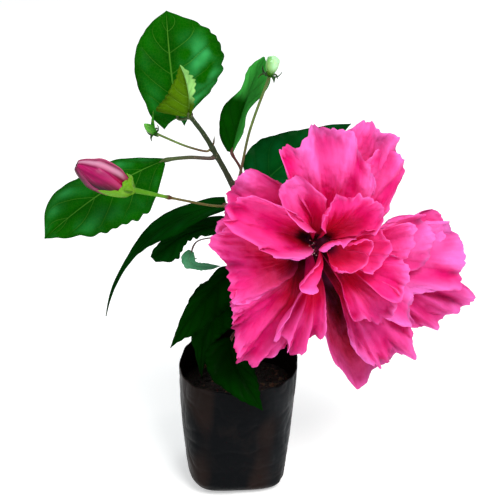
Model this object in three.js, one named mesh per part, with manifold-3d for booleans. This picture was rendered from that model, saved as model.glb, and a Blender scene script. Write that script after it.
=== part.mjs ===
import * as THREE from 'three';
import Module from 'manifold-3d';

// A young double hibiscus in a black nursery bag, in millimetres, with +Z up.
// The origin is on the bag's flat underside, under the stem, and the plant's front looks towards -Y.

const GAP = 0.35;
const SMALLEST_STEP = 0.1;

// The bag is an open film tube. Its plan is round at the rim and boxy and a little turned at the foot, and a
// box value is the power of that rounded outline, 2 for a circle and more for a box. The foot's middle lies
// to the left of the rim's, and the foot's corner is larger on the left by uneven.
const BAG = {
  rimRadius: 38,
  footWidth: 30.5,
  footDepth: 33,
  footTurn: 8,
  footMiddle: -4.6,
  rimMiddle: -1,
  corner: 9,
  uneven: 3.5,
  leftHeight: 81.5,
  rightHeight: 83.5,
  backHeight: 88,
  rimBox: 2.15,
  footBox: 4.5,
  wall: 1.2,
  sides: 28,
};
const BAG_LEVELS = [0, 0.015, 0.05, 0.11, 0.25, 0.45, 0.7, 1];
const SOIL_LEVEL = 62;
const SOIL_MOUND = 1.5;
const SOIL_LEVELS = [0, 0.05, 0.12, 0.3, 0.6, 1];

// The stem rises from the soil, leans right behind the bloom and bends left to its tip.
const STEM_FOOT = SOIL_LEVEL + SOIL_MOUND + GAP;
const STEM_POINTS = [
  [0, 1, STEM_FOOT], [0.1, 1, 76], [2.4, 2, 108], [4.5, 3, 150], [0.5, 2, 191],
  [-3.8, 1, 204], [-14.4, 0, 226], [-20.6, -2, 238], [-28, -4, 249.5],
];
const STEM = { footRadius: 3.2, tipRadius: 1.3, flare: 1.8, flareLength: 0.05, steps: 26, sides: 8 };

// Leaves are sheets of this thickness about a midrib that runs through three points.
const LEAF_THICKNESS = 0.9;
const LEAF_ROWS = 10;
const LEAF_COLUMNS = 4;
const NARROWEST = 0.5;

// Shares of a plain leaf's greatest half width at even steps from its foot to its tip.
const OVATE = [0.15, 0.62, 0.88, 1, 1, 0.94, 0.83, 0.66, 0.45, 0.22, 0];

// Each leaf leaves the stem at a height. A face is the azimuth and rise of the upper side's normal at
// the blade's foot and tip. Left and right are the half widths at even steps, seen with the tip up.
const LEAVES = [
  {
    name: 'leaf_top',
    height: 249.5,
    petiole: [[-33, -2, 247.5]],
    foot: [-36, 1, 247],
    middle: [-40, 8, 278],
    tip: [-42, 17, 307],
    faces: [[5, 25], [0, 15]],
    fold: 8,
    left: [9, 15.5, 17.5, 20, 21, 21, 20, 18, 14, 8.5, 0],
    right: [3, 10, 20, 26, 30, 31.5, 31, 29, 24, 14.5, 0],
  },
  {
    name: 'leaf_young',
    height: 249.5,
    petiole: [],
    foot: [-29, -8, 251],
    middle: [-29, -11, 267],
    tip: [-33, -12, 283],
    faces: [[-20, 15], [-20, 5]],
    fold: 20,
    left: [18, 19, 18, 16, 14, 12, 10, 8, 5, 3, 0],
    right: [1, 2, 3, 4, 4.5, 5, 6, 7, 6.5, 4, 0],
  },
  {
    name: 'leaf_left',
    height: 224,
    petiole: [[-30, 0, 223]],
    foot: [-45, 0, 221],
    middle: [-80, -8, 205],
    tip: [-117, -16, 177],
    faces: [[-10, 45], [-15, 40]],
    fold: 8,
    left: [3, 15, 24, 28.5, 29.5, 28, 26, 22.5, 16, 9, 0],
    right: [1.5, 5, 9, 12.5, 14, 15, 16.5, 18, 17, 12, 0],
  },
  {
    name: 'leaf_twisted',
    height: 201,
    petiole: [[1, 7, 212]],
    foot: [-4.5, 6, 224],
    middle: [3.5, 9, 253],
    tip: [15, 12, 281],
    faces: [[-25, 5], [20, 0]],
    fold: 8,
    left: [3, 8, 10.5, 12, 12, 10, 6.5, 5.5, 6.5, 5.5, 1],
    right: [1, 2.5, 4, 4, 3, 4, 7, 9, 9, 6, 0],
  },
  {
    name: 'leaf_behind',
    height: 180,
    petiole: [[9, 11, 187]],
    foot: [14, 16, 198],
    middle: [32, 21, 214],
    tip: [69, 30, 234],
    faces: [[-10, 20], [0, 30]],
    fold: 6,
    left: [11, 18, 20.5, 21.5, 21, 18, 15.5, 12, 8.5, 5, 0],
    right: [6, 12, 15, 16, 16, 15, 13, 11, 8, 4, 0],
  },
  {
    name: 'leaf_droop',
    height: 186,
    petiole: [],
    foot: [-8, 4, 191],
    middle: [-58, -8, 171],
    tip: [-83, -16, 124],
    faces: [[-10, 60], [-60, 20]],
    fold: 10,
    left: [5, 8, 10, 11, 9, 6.5, 4, 2.5, 1.7, 1.2, 0],
    right: [5, 7, 8, 8, 6.5, 5, 3.5, 2.2, 1.7, 1.2, 0],
  },
  {
    name: 'leaf_curled',
    height: 178,
    petiole: [],
    foot: [-8, 9, 174],
    middle: [-33, 4, 171],
    tip: [-54, 0, 156],
    faces: [[-5, 50], [-30, 0]],
    fold: 10,
    left: [6, 7, 6, 5, 5, 5, 7, 10, 11, 8, 3],
    right: [6, 7, 7, 6, 5, 4.5, 4, 4, 4, 4, 2],
  },
  {
    name: 'leaf_pale',
    height: 166,
    petiole: [[-15, 12, 165], [-27, 10, 163]],
    foot: [-30, 7, 158],
    middle: [-29, 4, 150],
    tip: [-12, 2, 150],
    faces: [[-20, 10], [0, 30]],
    fold: 14,
    left: [2, 4, 5, 5, 4, 3, 2.5, 2.5, 2.5, 1.5, 0],
    right: [2, 4, 5.5, 5, 4.5, 3, 2.5, 2.5, 2, 1.5, 0],
  },
  {
    name: 'leaf_low_left',
    height: 146,
    petiole: [],
    foot: [-3, 0, 148],
    middle: [-25, -14, 130],
    tip: [-43, -24, 106],
    faces: [[-20, 40], [-25, 25]],
    fold: 10,
    left: [5, 12, 15, 16, 16, 15, 13, 10, 7, 3, 0],
    right: [4, 8, 8, 6.5, 7, 7, 6.5, 5, 3, 1.5, 0],
  },
  {
    name: 'leaf_low_middle',
    height: 137,
    petiole: [],
    foot: [-4, -5, 139],
    middle: [-20, -12, 114],
    tip: [-24, -20, 82],
    faces: [[-10, 40], [-10, 20]],
    fold: 10,
    left: [6, 13, 16, 16, 14, 11, 8, 5, 3, 1.5, 0],
    right: [8, 14, 17, 18, 16, 13, 10, 7, 4, 2, 0],
  },
  {
    name: 'leaf_front',
    height: 115,
    petiole: [[1, -8, 114]],
    foot: [-5, -17, 109],
    middle: [-0.5, -33.5, 96],
    tip: [14.5, -47, 75],
    faces: [[-5, 50], [-10, 20]],
    fold: 8,
    left: [4, 8, 9.5, 10, 10, 9.5, 9, 8, 6, 3, 0],
    right: [4, 13, 17.5, 18, 18, 17, 14, 11, 8, 4, 0],
  },
  {
    name: 'leaf_back_high',
    height: 173,
    petiole: [],
    foot: [12, 22, 178],
    middle: [39, 44, 188],
    tip: [69, 64, 187],
    faces: [[150, 50], [150, 30]],
    fold: 10,
    left: 17,
    right: 17,
  },
  {
    name: 'leaf_back_right',
    height: 148,
    petiole: [],
    foot: [22, 20, 158],
    middle: [59, 40, 157],
    tip: [101, 48, 140],
    faces: [[120, 60], [110, 30]],
    fold: 10,
    left: 18,
    right: 18,
  },
  {
    name: 'leaf_back_low',
    height: 131,
    petiole: [],
    foot: [12, 21, 138],
    middle: [36, 44, 128],
    tip: [66, 57, 98],
    faces: [[150, 60], [140, 30]],
    fold: 10,
    left: 16,
    right: 16,
  },
  {
    name: 'leaf_right_low',
    height: 122,
    petiole: [],
    foot: [20, 4, 131],
    middle: [50, 9, 132],
    tip: [83, 8, 112],
    faces: [[60, 60], [70, 30]],
    fold: 10,
    left: 15,
    right: 15,
  },
  {
    name: 'leaf_back_left',
    height: 126,
    petiole: [],
    foot: [-5, 10, 131],
    middle: [-16, 28, 121],
    tip: [-28, 45, 91],
    faces: [[190, 50], [200, 20]],
    fold: 10,
    left: 12,
    right: 12,
  },
  {
    name: 'leaf_back_middle',
    height: 155,
    petiole: [],
    foot: [4, 15, 159],
    middle: [8, 40, 155],
    tip: [11, 68, 129],
    faces: [[180, 60], [180, 30]],
    fold: 10,
    left: 14,
    right: 14,
  },
];
const PETIOLE = { radius: 1.0, steps: 5, sides: 5, sunk: 3 };
const LEAF_WAVE = 1.2;
const WAVES_A_LEAF = 2.3;

// The bloom faces forward, a little to the right and slightly up. A petal is a fan about a foot, which is
// a place in the plane across the bloom's axis and a depth along it. Its fan is the first and last
// direction in degrees, its reach is the distance to the margin at even steps between them, and mid and
// rise are how far forward its middle and margin lie.
const THROAT = new THREE.Vector3(48.7, -25, 178.2);
const BLOOM_AXIS = new THREE.Vector3(0.29, -0.947, 0.139).normalize();
const PETAL_THICKNESS = 0.9;
const PETALS = [
  {
    foot: [7, -7, -20], fan: [34, 72], mid: 12, rise: 6, folds: 1.8, waves: 2.5,
    reach: [34, 44, 63, 68, 70, 69, 66, 58],
  },
  {
    foot: [8, -7, -21], fan: [46, 94], mid: 8, rise: 2, folds: 1.8, waves: 3,
    reach: [53, 66, 74, 78, 76, 80, 79, 73, 66, 56],
  },
  {
    foot: [7, -7, -20], fan: [119, 167], mid: 10, rise: 4, folds: 1.6, waves: 1.8,
    reach: [46, 60, 76, 78, 78, 75, 73, 77, 62],
  },
  {
    foot: [7, -8, -17], fan: [154, 199], mid: 12, rise: 10, folds: 1.6, waves: 1.3,
    reach: [70, 77, 80, 74, 68, 68, 68, 70, 58],
  },
  {
    foot: [6, -11, -19], fan: [186, 240], mid: 8, rise: 8, folds: 3, waves: 3.2, lip: 1.6,
    reach: [64, 69, 69, 69, 73, 78, 80, 75, 60, 44],
  },
  {
    foot: [7, -15, -19], fan: [253, 307], mid: 0, rise: -4, folds: 1.4, waves: 1.4,
    reach: [30, 37, 46, 62, 69, 84, 85, 81, 77, 71, 65],
  },
  {
    foot: [9, -13, -17], fan: [275, 321], mid: 10, rise: 8, folds: 2.8, waves: 3, lip: 1.6,
    reach: [50, 61, 66, 72, 76, 75, 76, 71, 65, 57],
  },
  {
    foot: [13, -11, -21], fan: [305, 343], mid: 0, rise: -6, folds: 3.2, waves: 4.2,
    reach: [55, 66, 78, 85, 88, 93, 95, 78],
  },
  {
    foot: [13, -9, -19], fan: [326, 376], mid: 8, rise: 2, folds: 1.6, waves: 2.2,
    reach: [55, 64, 80, 82, 80, 78, 78, 73, 70, 56],
  },
  {
    foot: [13, -9, -20], fan: [352, 390], mid: 4, rise: 0, folds: 1.8, waves: 2,
    reach: [66, 66, 66, 68, 66, 52, 40],
  },
  {
    foot: [5, -1, -13], fan: [58, 124], mid: 22, rise: 20, folds: 1.6, waves: 3.4,
    reach: [38, 48, 54, 56, 64, 71, 73, 75, 77, 72, 69, 73, 54],
  },
  {
    foot: [5, -2, -11], fan: [134, 178], mid: 16, rise: 20, folds: 1.2, waves: 1.4, lip: 2.6,
    reach: [40, 55, 71, 75, 75, 76, 76, 64, 54, 47, 39, 28],
  },
  {
    foot: [2, -10, -10], fan: [211, 258], mid: 18, rise: 16, folds: 3.4, waves: 3.6, lip: 1.2,
    reach: [20, 34, 52, 52, 53, 55, 57, 55, 47, 38],
  },
  {
    foot: [9, -8, -9], fan: [299, 337], mid: 18, rise: 14, folds: 1.8, waves: 1.6,
    reach: [42, 52, 63, 61, 54, 48, 38],
  },
  {
    foot: [9, -6, -12], fan: [337, 387], mid: 14, rise: 10, folds: 1.6, waves: 1.8,
    reach: [39, 53, 59, 59, 58, 58, 57, 56, 54, 42],
  },
  {
    foot: [8, -4, -9], fan: [345, 390], mid: 20, rise: 18, folds: 1.4, waves: 1.8,
    reach: [34, 38, 41, 43, 44, 45, 44, 41, 33],
  },
  {
    foot: [7, -4, -4], fan: [318, 416], mid: 20, rise: 26, folds: 1.2, waves: 1.8, lip: 1.2,
    reach: [13, 17, 20, 22, 24, 26, 27, 27, 27, 25, 20],
  },
  {
    foot: [7, -9, -5], fan: [258, 332], mid: 22, rise: 26, folds: 1.8, waves: 2.4,
    reach: [12, 17, 30, 33, 32, 36, 40, 39, 42, 41, 40, 38, 32],
  },
  {
    foot: [9, -8, -3], fan: [310, 374], mid: 26, rise: 30, folds: 1.4, waves: 2,
    reach: [24, 36, 36, 35, 35, 35, 34, 31, 28, 24],
  },
  {
    foot: [3, 6, -5], fan: [107, 154], mid: 16, rise: 24, folds: 0.8, waves: 1,
    reach: [30, 37, 44, 51, 52, 51, 47, 42, 33, 24],
  },
  {
    foot: [4, 3, -3], fan: [22, 132], mid: 22, rise: 27, folds: 0.9, waves: 1.4,
    reach: [20, 30, 33, 34, 33, 32, 31, 31, 29, 26, 20],
  },
  {
    foot: [6, -2, 4], fan: [10, 85], mid: 24, rise: 33, folds: 1, waves: 1.4,
    reach: [12, 15, 17, 17, 14, 12, 11],
  },
  {
    foot: [3, -4, 6], fan: [205, 380], mid: 20, rise: 28, folds: 0.5, waves: 1.2, lip: 0.6,
    reach: [6, 7, 7, 8, 10, 13, 16, 16],
  },
  {
    foot: [2, 2, 6], fan: [35, 168], mid: 20, rise: 29, folds: 0.8, waves: 1.6,
    reach: [10, 8, 7, 7, 8, 10, 15],
  },
  {
    foot: [1, -1, 2], fan: [192, 226], mid: 28, rise: 30, folds: 1.6, waves: 1.4,
    reach: [19, 24, 28, 27, 22],
  },
];
const PETAL_ROWS = 5;
const PETAL_STEP = 11;
const MOST_PETAL_STEPS = 7;
const PETAL_ROOT = 2;
const PETAL_MIDDLE = 0.4;
const COLUMN = [[-24, 4.4], [-20, 5], [-8, 4], [4, 5], [9, 2.5]];
const COLUMN_SIDES = 8;

// The calyx sits behind the bloom, and its stalk runs back to the stem.
const CALYX = [[-24.4, 6.5], [-27, 8], [-31, 7], [-35, 3.2], [-38, 1.9]];
const SEPALS = { count: 5, foot: 6, reach: 17, half: 4, footLevel: -26, tipLevel: -20, thickness: 0.9 };
const BLOOM_STALK = { height: 163, via: [[17, 6, 164], [29, 12, 169]], radius: 1.6 };

// The closed pink bud lies on a long stalk to the left, and two green buds stand on thin stalks.
const BUD_FOOT = new THREE.Vector3(-61.6, -34, 215.8);
const BUD_TIP = new THREE.Vector3(-90.6, -40, 233.3);
const BUD_PROFILE = [[0.22, 6.6], [0.4, 9], [0.6, 9.4], [0.8, 7.2], [0.93, 4.4], [1, 1.6]];
const BUD_CALYX = [[-0.06, 1.6], [0, 3.6], [0.08, 6.4], [0.2, 7.4]];
const BUD_STALK = { height: 193, via: [[-14.5, -8, 195], [-32, -19, 203]], radius: 1.1 };
const GREEN_BUDS = [
  {
    name: 'green_bud_right', height: 206, via: [[6.5, -5, 242]], foot: [17.6, -6, 274],
    tip: [20.1, -6, 286], profile: [[0, 1], [0.18, 3], [0.5, 4.3], [0.85, 4], [1, 2.2]],
    radius: 0.9, bractReach: 7, bracts: 6,
  },
  {
    name: 'green_bud_left', height: 229, via: [[-30, -5, 231.5]], foot: [-48.4, -8, 240.5],
    tip: [-54.5, -10, 247], profile: [[0, 0.9], [0.2, 2], [0.55, 2.4], [0.85, 1.6], [1, 0.7]],
    radius: 0.75, bractReach: 5, bracts: 5,
  },
];
const BRACT = { half: 1.1, thickness: 0.8 };
const BUD_SIDES = 12;
const STALK = { steps: 8, sides: 6, collar: 1.5 };

const wasm = await Module();
wasm.setup();

function vector(place) {
  return new THREE.Vector3(...place);
}

// The direction that an azimuth from the front towards +X and a rise give, both in degrees.
function heading([azimuth, rise]) {
  const across = THREE.MathUtils.degToRad(azimuth);
  const up = THREE.MathUtils.degToRad(rise);
  return new THREE.Vector3(
    Math.sin(across) * Math.cos(up),
    -Math.cos(across) * Math.cos(up),
    Math.sin(up),
  );
}

// A closed geometry whose faces point out.
function body(points, index) {
  let volume = 0;
  for (let corner = 0; corner < index.length; corner += 3) {
    const [a, b, c] = index.slice(corner, corner + 3).map((at) => points[at]);
    volume += new THREE.Vector3().crossVectors(b, c).dot(a);
  }
  if (volume < 0) {
    index.reverse();
  }
  const geometry = new THREE.BufferGeometry();
  geometry.setAttribute('position', new THREE.Float32BufferAttribute(points.flatMap((p) => p.toArray()), 3));
  geometry.setIndex(index);
  return geometry;
}

// A body with rings of equal count as its sections and flat ends.
function loft(rings) {
  const sides = rings[0].length;
  const index = [];
  for (let ring = 0; ring < rings.length - 1; ring += 1) {
    for (let side = 0; side < sides; side += 1) {
      const next = (side + 1) % sides;
      const a = ring * sides + side;
      const b = ring * sides + next;
      index.push(a, b, b + sides, a, b + sides, a + sides);
    }
  }
  const last = (rings.length - 1) * sides;
  for (let side = 1; side < sides - 1; side += 1) {
    index.push(0, side + 1, side);
    index.push(last, last + side, last + side + 1);
  }
  return body(rings.flat(), index);
}

// A ring of points round a centre, across an axis.
function ring(centre, axis, radius, sides, guide = new THREE.Vector3(0, 0, 1)) {
  const across = new THREE.Vector3().crossVectors(guide, axis);
  if (across.length() < 0.1) {
    across.set(1, 0, 0);
  }
  across.addScaledVector(axis, -across.dot(axis)).normalize();
  const along = new THREE.Vector3().crossVectors(axis, across);
  return Array.from({ length: sides }, (_, side) => {
    const angle = (side / sides) * 2 * Math.PI;
    return centre.clone()
      .addScaledVector(across, Math.cos(angle) * radius)
      .addScaledVector(along, Math.sin(angle) * radius);
  });
}

// A round limb along a smooth curve through points, with its radius given along the way.
function limb(points, radiusAt, steps, sides) {
  const curve = new THREE.CatmullRomCurve3(points);
  const frames = curve.computeFrenetFrames(steps, false);
  const rings = [];
  for (let step = 0; step <= steps; step += 1) {
    const along = step / steps;
    const centre = curve.getPointAt(along);
    const radius = radiusAt(along);
    rings.push(Array.from({ length: sides }, (_, side) => {
      const angle = (side / sides) * 2 * Math.PI;
      return centre.clone()
        .addScaledVector(frames.normals[step], Math.cos(angle) * radius)
        .addScaledVector(frames.binormals[step], Math.sin(angle) * radius);
    }));
  }
  return loft(rings);
}

// A body turned round an axis, from levels along it as a share of its length and radii.
function spindle(foot, axis, length, profile, sides) {
  return loft(profile.map(([level, radius]) => (
    ring(foot.clone().addScaledVector(axis, level * length), axis, radius, sides)
  )));
}

// A closed sheet of even thickness about a grid of points.
function sheet(grid, thickness) {
  const rows = grid.length;
  const columns = grid[0].length;
  const front = [];
  const back = [];
  for (let row = 0; row < rows; row += 1) {
    for (let column = 0; column < columns; column += 1) {
      const line = grid[row];
      const down = grid[Math.min(row + 1, rows - 1)][column].clone().sub(grid[Math.max(row - 1, 0)][column]);
      const over = line[Math.min(column + 1, columns - 1)].clone().sub(line[Math.max(column - 1, 0)]);
      const normal = down.cross(over).normalize();
      front.push(grid[row][column].clone().addScaledVector(normal, thickness / 2));
      back.push(grid[row][column].clone().addScaledVector(normal, -thickness / 2));
    }
  }
  const shift = rows * columns;
  const index = [];
  const edge = [];
  for (let row = 0; row < rows - 1; row += 1) {
    for (let column = 0; column < columns - 1; column += 1) {
      const a = row * columns + column;
      const c = a + columns;
      index.push(a, c, c + 1, a, c + 1, a + 1);
      index.push(shift + a, shift + c + 1, shift + c, shift + a, shift + a + 1, shift + c + 1);
    }
  }
  for (let row = 0; row < rows - 1; row += 1) {
    edge.push(row * columns);
  }
  for (let column = 0; column < columns - 1; column += 1) {
    edge.push((rows - 1) * columns + column);
  }
  for (let row = rows - 1; row > 0; row -= 1) {
    edge.push(row * columns + columns - 1);
  }
  for (let column = columns - 1; column > 0; column -= 1) {
    edge.push(column);
  }
  edge.forEach((a, step) => {
    const b = edge[(step + 1) % edge.length];
    index.push(a, shift + a, shift + b, a, shift + b, b);
  });
  return body([...front, ...back], index);
}

// One closed body from several that touch, without loose scraps or sealed hollows.
function fused(geometries) {
  const solids = geometries.map((geometry) => new wasm.Manifold(new wasm.Mesh({
    numProp: 3,
    vertProperties: geometry.attributes.position.array,
    triVerts: Uint32Array.from(geometry.index.array),
  })));
  const pieces = wasm.Manifold.union(solids).decompose();
  const whole = pieces.reduce((best, piece) => (piece.volume() > best.volume() ? piece : best));
  const mesh = whole.simplify(SMALLEST_STEP).getMesh();
  const geometry = new THREE.BufferGeometry();
  geometry.setAttribute('position', new THREE.BufferAttribute(mesh.vertProperties, 3));
  geometry.setIndex(new THREE.BufferAttribute(mesh.triVerts, 1));
  return geometry;
}

// A smooth curve through evenly spaced values, at a place from 0 to 1.
function between(values, at) {
  const last = values.length - 1;
  const step = Math.min(Math.floor(at * last), last - 1);
  const t = at * last - step;
  const b = values[step];
  const c = values[step + 1];
  const a = values[step - 1] ?? 2 * b - c;
  const d = values[step + 2] ?? 2 * c - b;
  return b + 0.5 * t * (c - a + t * (2 * a - 5 * b + 4 * c - d + t * (3 * (b - c) + d - a)));
}

// How far the bag stands out from its middle at an angle and a height.
function bagReach(angle, height) {
  const rise = Math.max(0, 1 - height / BAG.leftHeight);
  const corner = BAG.corner - BAG.uneven * Math.cos(angle);
  const below = Math.max(0, 1 - height / corner);
  const cut = corner * (1 - Math.sqrt(1 - below * below));
  const width = BAG.rimRadius - (BAG.rimRadius - BAG.footWidth) * rise ** 1.4 - cut;
  const depth = BAG.rimRadius - (BAG.rimRadius - BAG.footDepth) * rise ** 1.4 - cut;
  const power = BAG.rimBox + (BAG.footBox - BAG.rimBox) * rise;
  const turned = angle - THREE.MathUtils.degToRad(BAG.footTurn) * rise;
  const x = Math.abs(Math.cos(turned) / width) ** power;
  const y = Math.abs(Math.sin(turned) / depth) ** power;
  return (x + y) ** (-1 / power);
}

function bagMiddle(height) {
  return BAG.footMiddle + ((BAG.rimMiddle - BAG.footMiddle) * height) / BAG.leftHeight;
}

function rimHeight(angle) {
  const side = BAG.leftHeight + (BAG.rightHeight - BAG.leftHeight) * (0.5 + 0.5 * Math.cos(angle));
  const back = Math.max(0, Math.sin(angle)) ** 1.5;
  return side + (BAG.backHeight - side) * back;
}

// A ring round the bag's middle whose height may change with the angle.
function bagRing(heightAt, inset) {
  return Array.from({ length: BAG.sides }, (_, side) => {
    const angle = (side / BAG.sides) * 2 * Math.PI;
    const height = heightAt(angle);
    const radius = bagReach(angle, height) - inset;
    return new THREE.Vector3(bagMiddle(height) + Math.cos(angle) * radius, Math.sin(angle) * radius, height);
  });
}

// Rings up the bag from a floor to the rim.
function bagWall(floor, inset) {
  return BAG_LEVELS.map((level) => bagRing((angle) => floor + level * (rimHeight(angle) - floor), inset));
}

function bag() {
  return loft([...bagWall(0, 0), ...bagWall(BAG.wall, BAG.wall).reverse()]);
}

function soil() {
  const floor = BAG.wall + GAP;
  const rings = SOIL_LEVELS.map((level) => (
    bagRing(() => floor + level * (SOIL_LEVEL - floor), BAG.wall + 2 * GAP)
  ));
  const mound = new THREE.Vector3(bagMiddle(SOIL_LEVEL), 0, SOIL_LEVEL + SOIL_MOUND);
  rings.push(ring(mound, new THREE.Vector3(0, 0, 1), BAG.rimRadius / 3, BAG.sides));
  return loft(rings);
}

const stemCurve = new THREE.CatmullRomCurve3(STEM_POINTS.map(vector));

function stemRadius(along) {
  const taper = THREE.MathUtils.lerp(STEM.footRadius, STEM.tipRadius, along);
  return taper + STEM.flare * Math.exp(-along / STEM.flareLength);
}

// The place on the stem's axis at a height, with the stem's radius and direction there.
function stemAt(height) {
  let low = 0;
  let high = 1;
  while (high - low > 1e-5) {
    const middle = (low + high) / 2;
    if (stemCurve.getPointAt(middle).z < height) {
      low = middle;
    } else {
      high = middle;
    }
  }
  return {
    centre: stemCurve.getPointAt(low),
    radius: stemRadius(low),
    tangent: stemCurve.getTangentAt(low),
  };
}

// The two points beside the stem at a height from which a stalk sets out, square to the bark.
function stalkStart(height, target) {
  const { centre, radius, tangent } = stemAt(height);
  const away = target.clone().sub(centre);
  if (height < STEM_POINTS.at(-1)[2]) {
    away.addScaledVector(tangent, -away.dot(tangent));
  }
  away.normalize();
  const start = centre.clone().addScaledVector(away, radius + GAP);
  return [start, start.clone().addScaledVector(away, STALK.collar)];
}

function stalk(height, places, radius, steps = STALK.steps, sides = STALK.sides) {
  return limb([...stalkStart(height, places[0]), ...places], () => radius, steps, sides);
}

// The half widths of one side of a leaf at even steps from its foot to its tip.
function sideWidths(widths) {
  return Array.isArray(widths) ? widths : OVATE.map((share) => widths * share);
}

// The grid of a blade about its midrib, folded up along it and waved at its margins.
function bladeGrid(leaf) {
  const foot = vector(leaf.foot);
  const tip = vector(leaf.tip);
  const pull = vector(leaf.middle).multiplyScalar(2).addScaledVector(foot, -0.5).addScaledVector(tip, -0.5);
  const midrib = new THREE.QuadraticBezierCurve3(foot, pull, tip);
  const fold = THREE.MathUtils.degToRad(leaf.fold);
  const grid = [];
  for (let row = 0; row <= LEAF_ROWS; row += 1) {
    const along = row / LEAF_ROWS;
    const centre = midrib.getPoint(along);
    const tangent = midrib.getTangent(along);
    const normal = heading(leaf.faces[0]).lerp(heading(leaf.faces[1]), along);
    normal.addScaledVector(tangent, -normal.dot(tangent)).normalize();
    const across = new THREE.Vector3().crossVectors(tangent, normal);
    const line = [];
    for (let column = 0; column <= LEAF_COLUMNS; column += 1) {
      const side = (column / LEAF_COLUMNS) * 2 - 1;
      const widths = sideWidths(side < 0 ? leaf.left : leaf.right);
      const width = Math.max(NARROWEST, between(widths, along));
      const swing = Math.sin(2 * Math.PI * WAVES_A_LEAF * along + (side > 0 ? 1.7 : 0));
      const wave = LEAF_WAVE * side * side * swing * (width / Math.max(...widths));
      const lift = width * Math.abs(side) * Math.sin(fold) + wave;
      line.push(centre.clone()
        .addScaledVector(across, width * side * Math.cos(fold))
        .addScaledVector(normal, lift));
    }
    grid.push(line);
  }
  return grid;
}

function leafBody(leaf) {
  const foot = vector(leaf.foot);
  const inward = vector(leaf.middle).sub(foot).normalize();
  const places = [...leaf.petiole.map(vector), foot, foot.clone().addScaledVector(inward, PETIOLE.sunk)];
  const petiole = stalk(leaf.height, places, PETIOLE.radius, PETIOLE.steps, PETIOLE.sides);
  return fused([sheet(bladeGrid(leaf), LEAF_THICKNESS), petiole]);
}

const bloomRight = new THREE.Vector3().crossVectors(new THREE.Vector3(0, 0, 1), BLOOM_AXIS).normalize();
const bloomUp = new THREE.Vector3().crossVectors(BLOOM_AXIS, bloomRight);

function bloomPlace(right, up, forward) {
  return THROAT.clone()
    .addScaledVector(bloomRight, right)
    .addScaledVector(bloomUp, up)
    .addScaledVector(BLOOM_AXIS, forward);
}

// The grid of a petal: a fan from its foot on the column that rises, turns out and ripples to its margin.
function petalGrid(petal, number) {
  const [start, end] = petal.fan.map(THREE.MathUtils.degToRad);
  const [right, up, low] = petal.foot;
  const longest = Math.max(...petal.reach);
  const arc = (end - start) * longest;
  const columns = Math.min(MOST_PETAL_STEPS, Math.max(3, Math.round(arc / PETAL_STEP)));
  const grid = [];
  for (let row = 0; row <= PETAL_ROWS; row += 1) {
    const share = row / PETAL_ROWS;
    const apart = 1 - THREE.MathUtils.smoothstep(share, 0, 0.45);
    const line = [];
    for (let column = 0; column <= columns; column += 1) {
      const across = column / columns;
      const angle = start + (end - start) * across;
      const reach = between(petal.reach, across);
      const profile = new THREE.QuadraticBezierCurve(
        new THREE.Vector2(0, low),
        new THREE.Vector2(reach * PETAL_MIDDLE, petal.mid),
        new THREE.Vector2(reach, petal.rise),
      );
      const forward = profile.getPoint(share).y;
      const slope = profile.getTangent(share);
      const distance = PETAL_ROOT + (reach - PETAL_ROOT) * share;
      const outward = bloomPlace(Math.cos(angle), Math.sin(angle), 0).sub(THROAT);
      const normal = outward.clone().multiplyScalar(-slope.y).addScaledVector(BLOOM_AXIS, slope.x);
      const turn = 2 * Math.PI * petal.waves * across + 2.4 * number;
      const ripple = Math.sin(turn) + 0.45 * Math.sin(1.7 * turn + number);
      const curl = 0.4 + Math.sin(1.3 * turn + 1) ** 2;
      const lip = (petal.lip ?? 0) * THREE.MathUtils.smoothstep(share, 0.72, 1) * curl;
      line.push(bloomPlace(right + (low / 4 - right) * apart, up * (1 - apart), forward)
        .addScaledVector(outward, distance)
        .addScaledVector(normal, petal.folds * THREE.MathUtils.smoothstep(share, 0.25, 1) * ripple + lip));
    }
    grid.push(line);
  }
  return grid;
}

function bloom() {
  const column = loft(COLUMN.map(([level, radius]) => (
    ring(bloomPlace(level / 4, 0, level), BLOOM_AXIS, radius, COLUMN_SIDES)
  )));
  return fused([column, ...PETALS.map((petal, number) => sheet(petalGrid(petal, number), PETAL_THICKNESS))]);
}

// A pointed scale that leaves an axis at one level and radius and ends at another.
function scale(foot, axis, angle, start, end, half, thickness) {
  const [first, second] = ring(new THREE.Vector3(), axis, 1, 4);
  const outward = first.multiplyScalar(Math.cos(angle)).addScaledVector(second, Math.sin(angle));
  const sideways = new THREE.Vector3().crossVectors(axis, outward);
  const grid = [0, 0.35, 0.7, 1].map((along) => {
    const [level, radius] = [0, 1].map((item) => THREE.MathUtils.lerp(start[item], end[item], along));
    const width = Math.max(NARROWEST, half * (1 - along * along));
    return [-1, 0, 1].map((side) => foot.clone()
      .addScaledVector(axis, level)
      .addScaledVector(outward, radius)
      .addScaledVector(sideways, side * width));
  });
  return sheet(grid, thickness);
}

function bloomCalyx() {
  const cup = loft(CALYX.map(([level, radius]) => (
    ring(bloomPlace(level / 4, 0, level), BLOOM_AXIS, radius, BUD_SIDES)
  )));
  const behind = CALYX.at(-1)[0];
  const end = bloomPlace(behind / 4, 0, behind + 2);
  const stem = stalk(BLOOM_STALK.height, [...BLOOM_STALK.via.map(vector), end], BLOOM_STALK.radius);
  const sepals = Array.from({ length: SEPALS.count }, (_, number) => {
    const angle = ((number + 0.5) / SEPALS.count) * 2 * Math.PI;
    const start = [SEPALS.footLevel, SEPALS.foot];
    const tip = [SEPALS.tipLevel, SEPALS.reach];
    const foot = bloomPlace(SEPALS.footLevel / 4, 0, 0);
    return scale(foot, BLOOM_AXIS, angle, start, tip, SEPALS.half, SEPALS.thickness);
  });
  return fused([cup, stem, ...sepals]);
}

const budAxis = BUD_TIP.clone().sub(BUD_FOOT);
const budLength = budAxis.length();
budAxis.normalize();

function budPetals() {
  return spindle(BUD_FOOT, budAxis, budLength, BUD_PROFILE, BUD_SIDES);
}

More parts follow.
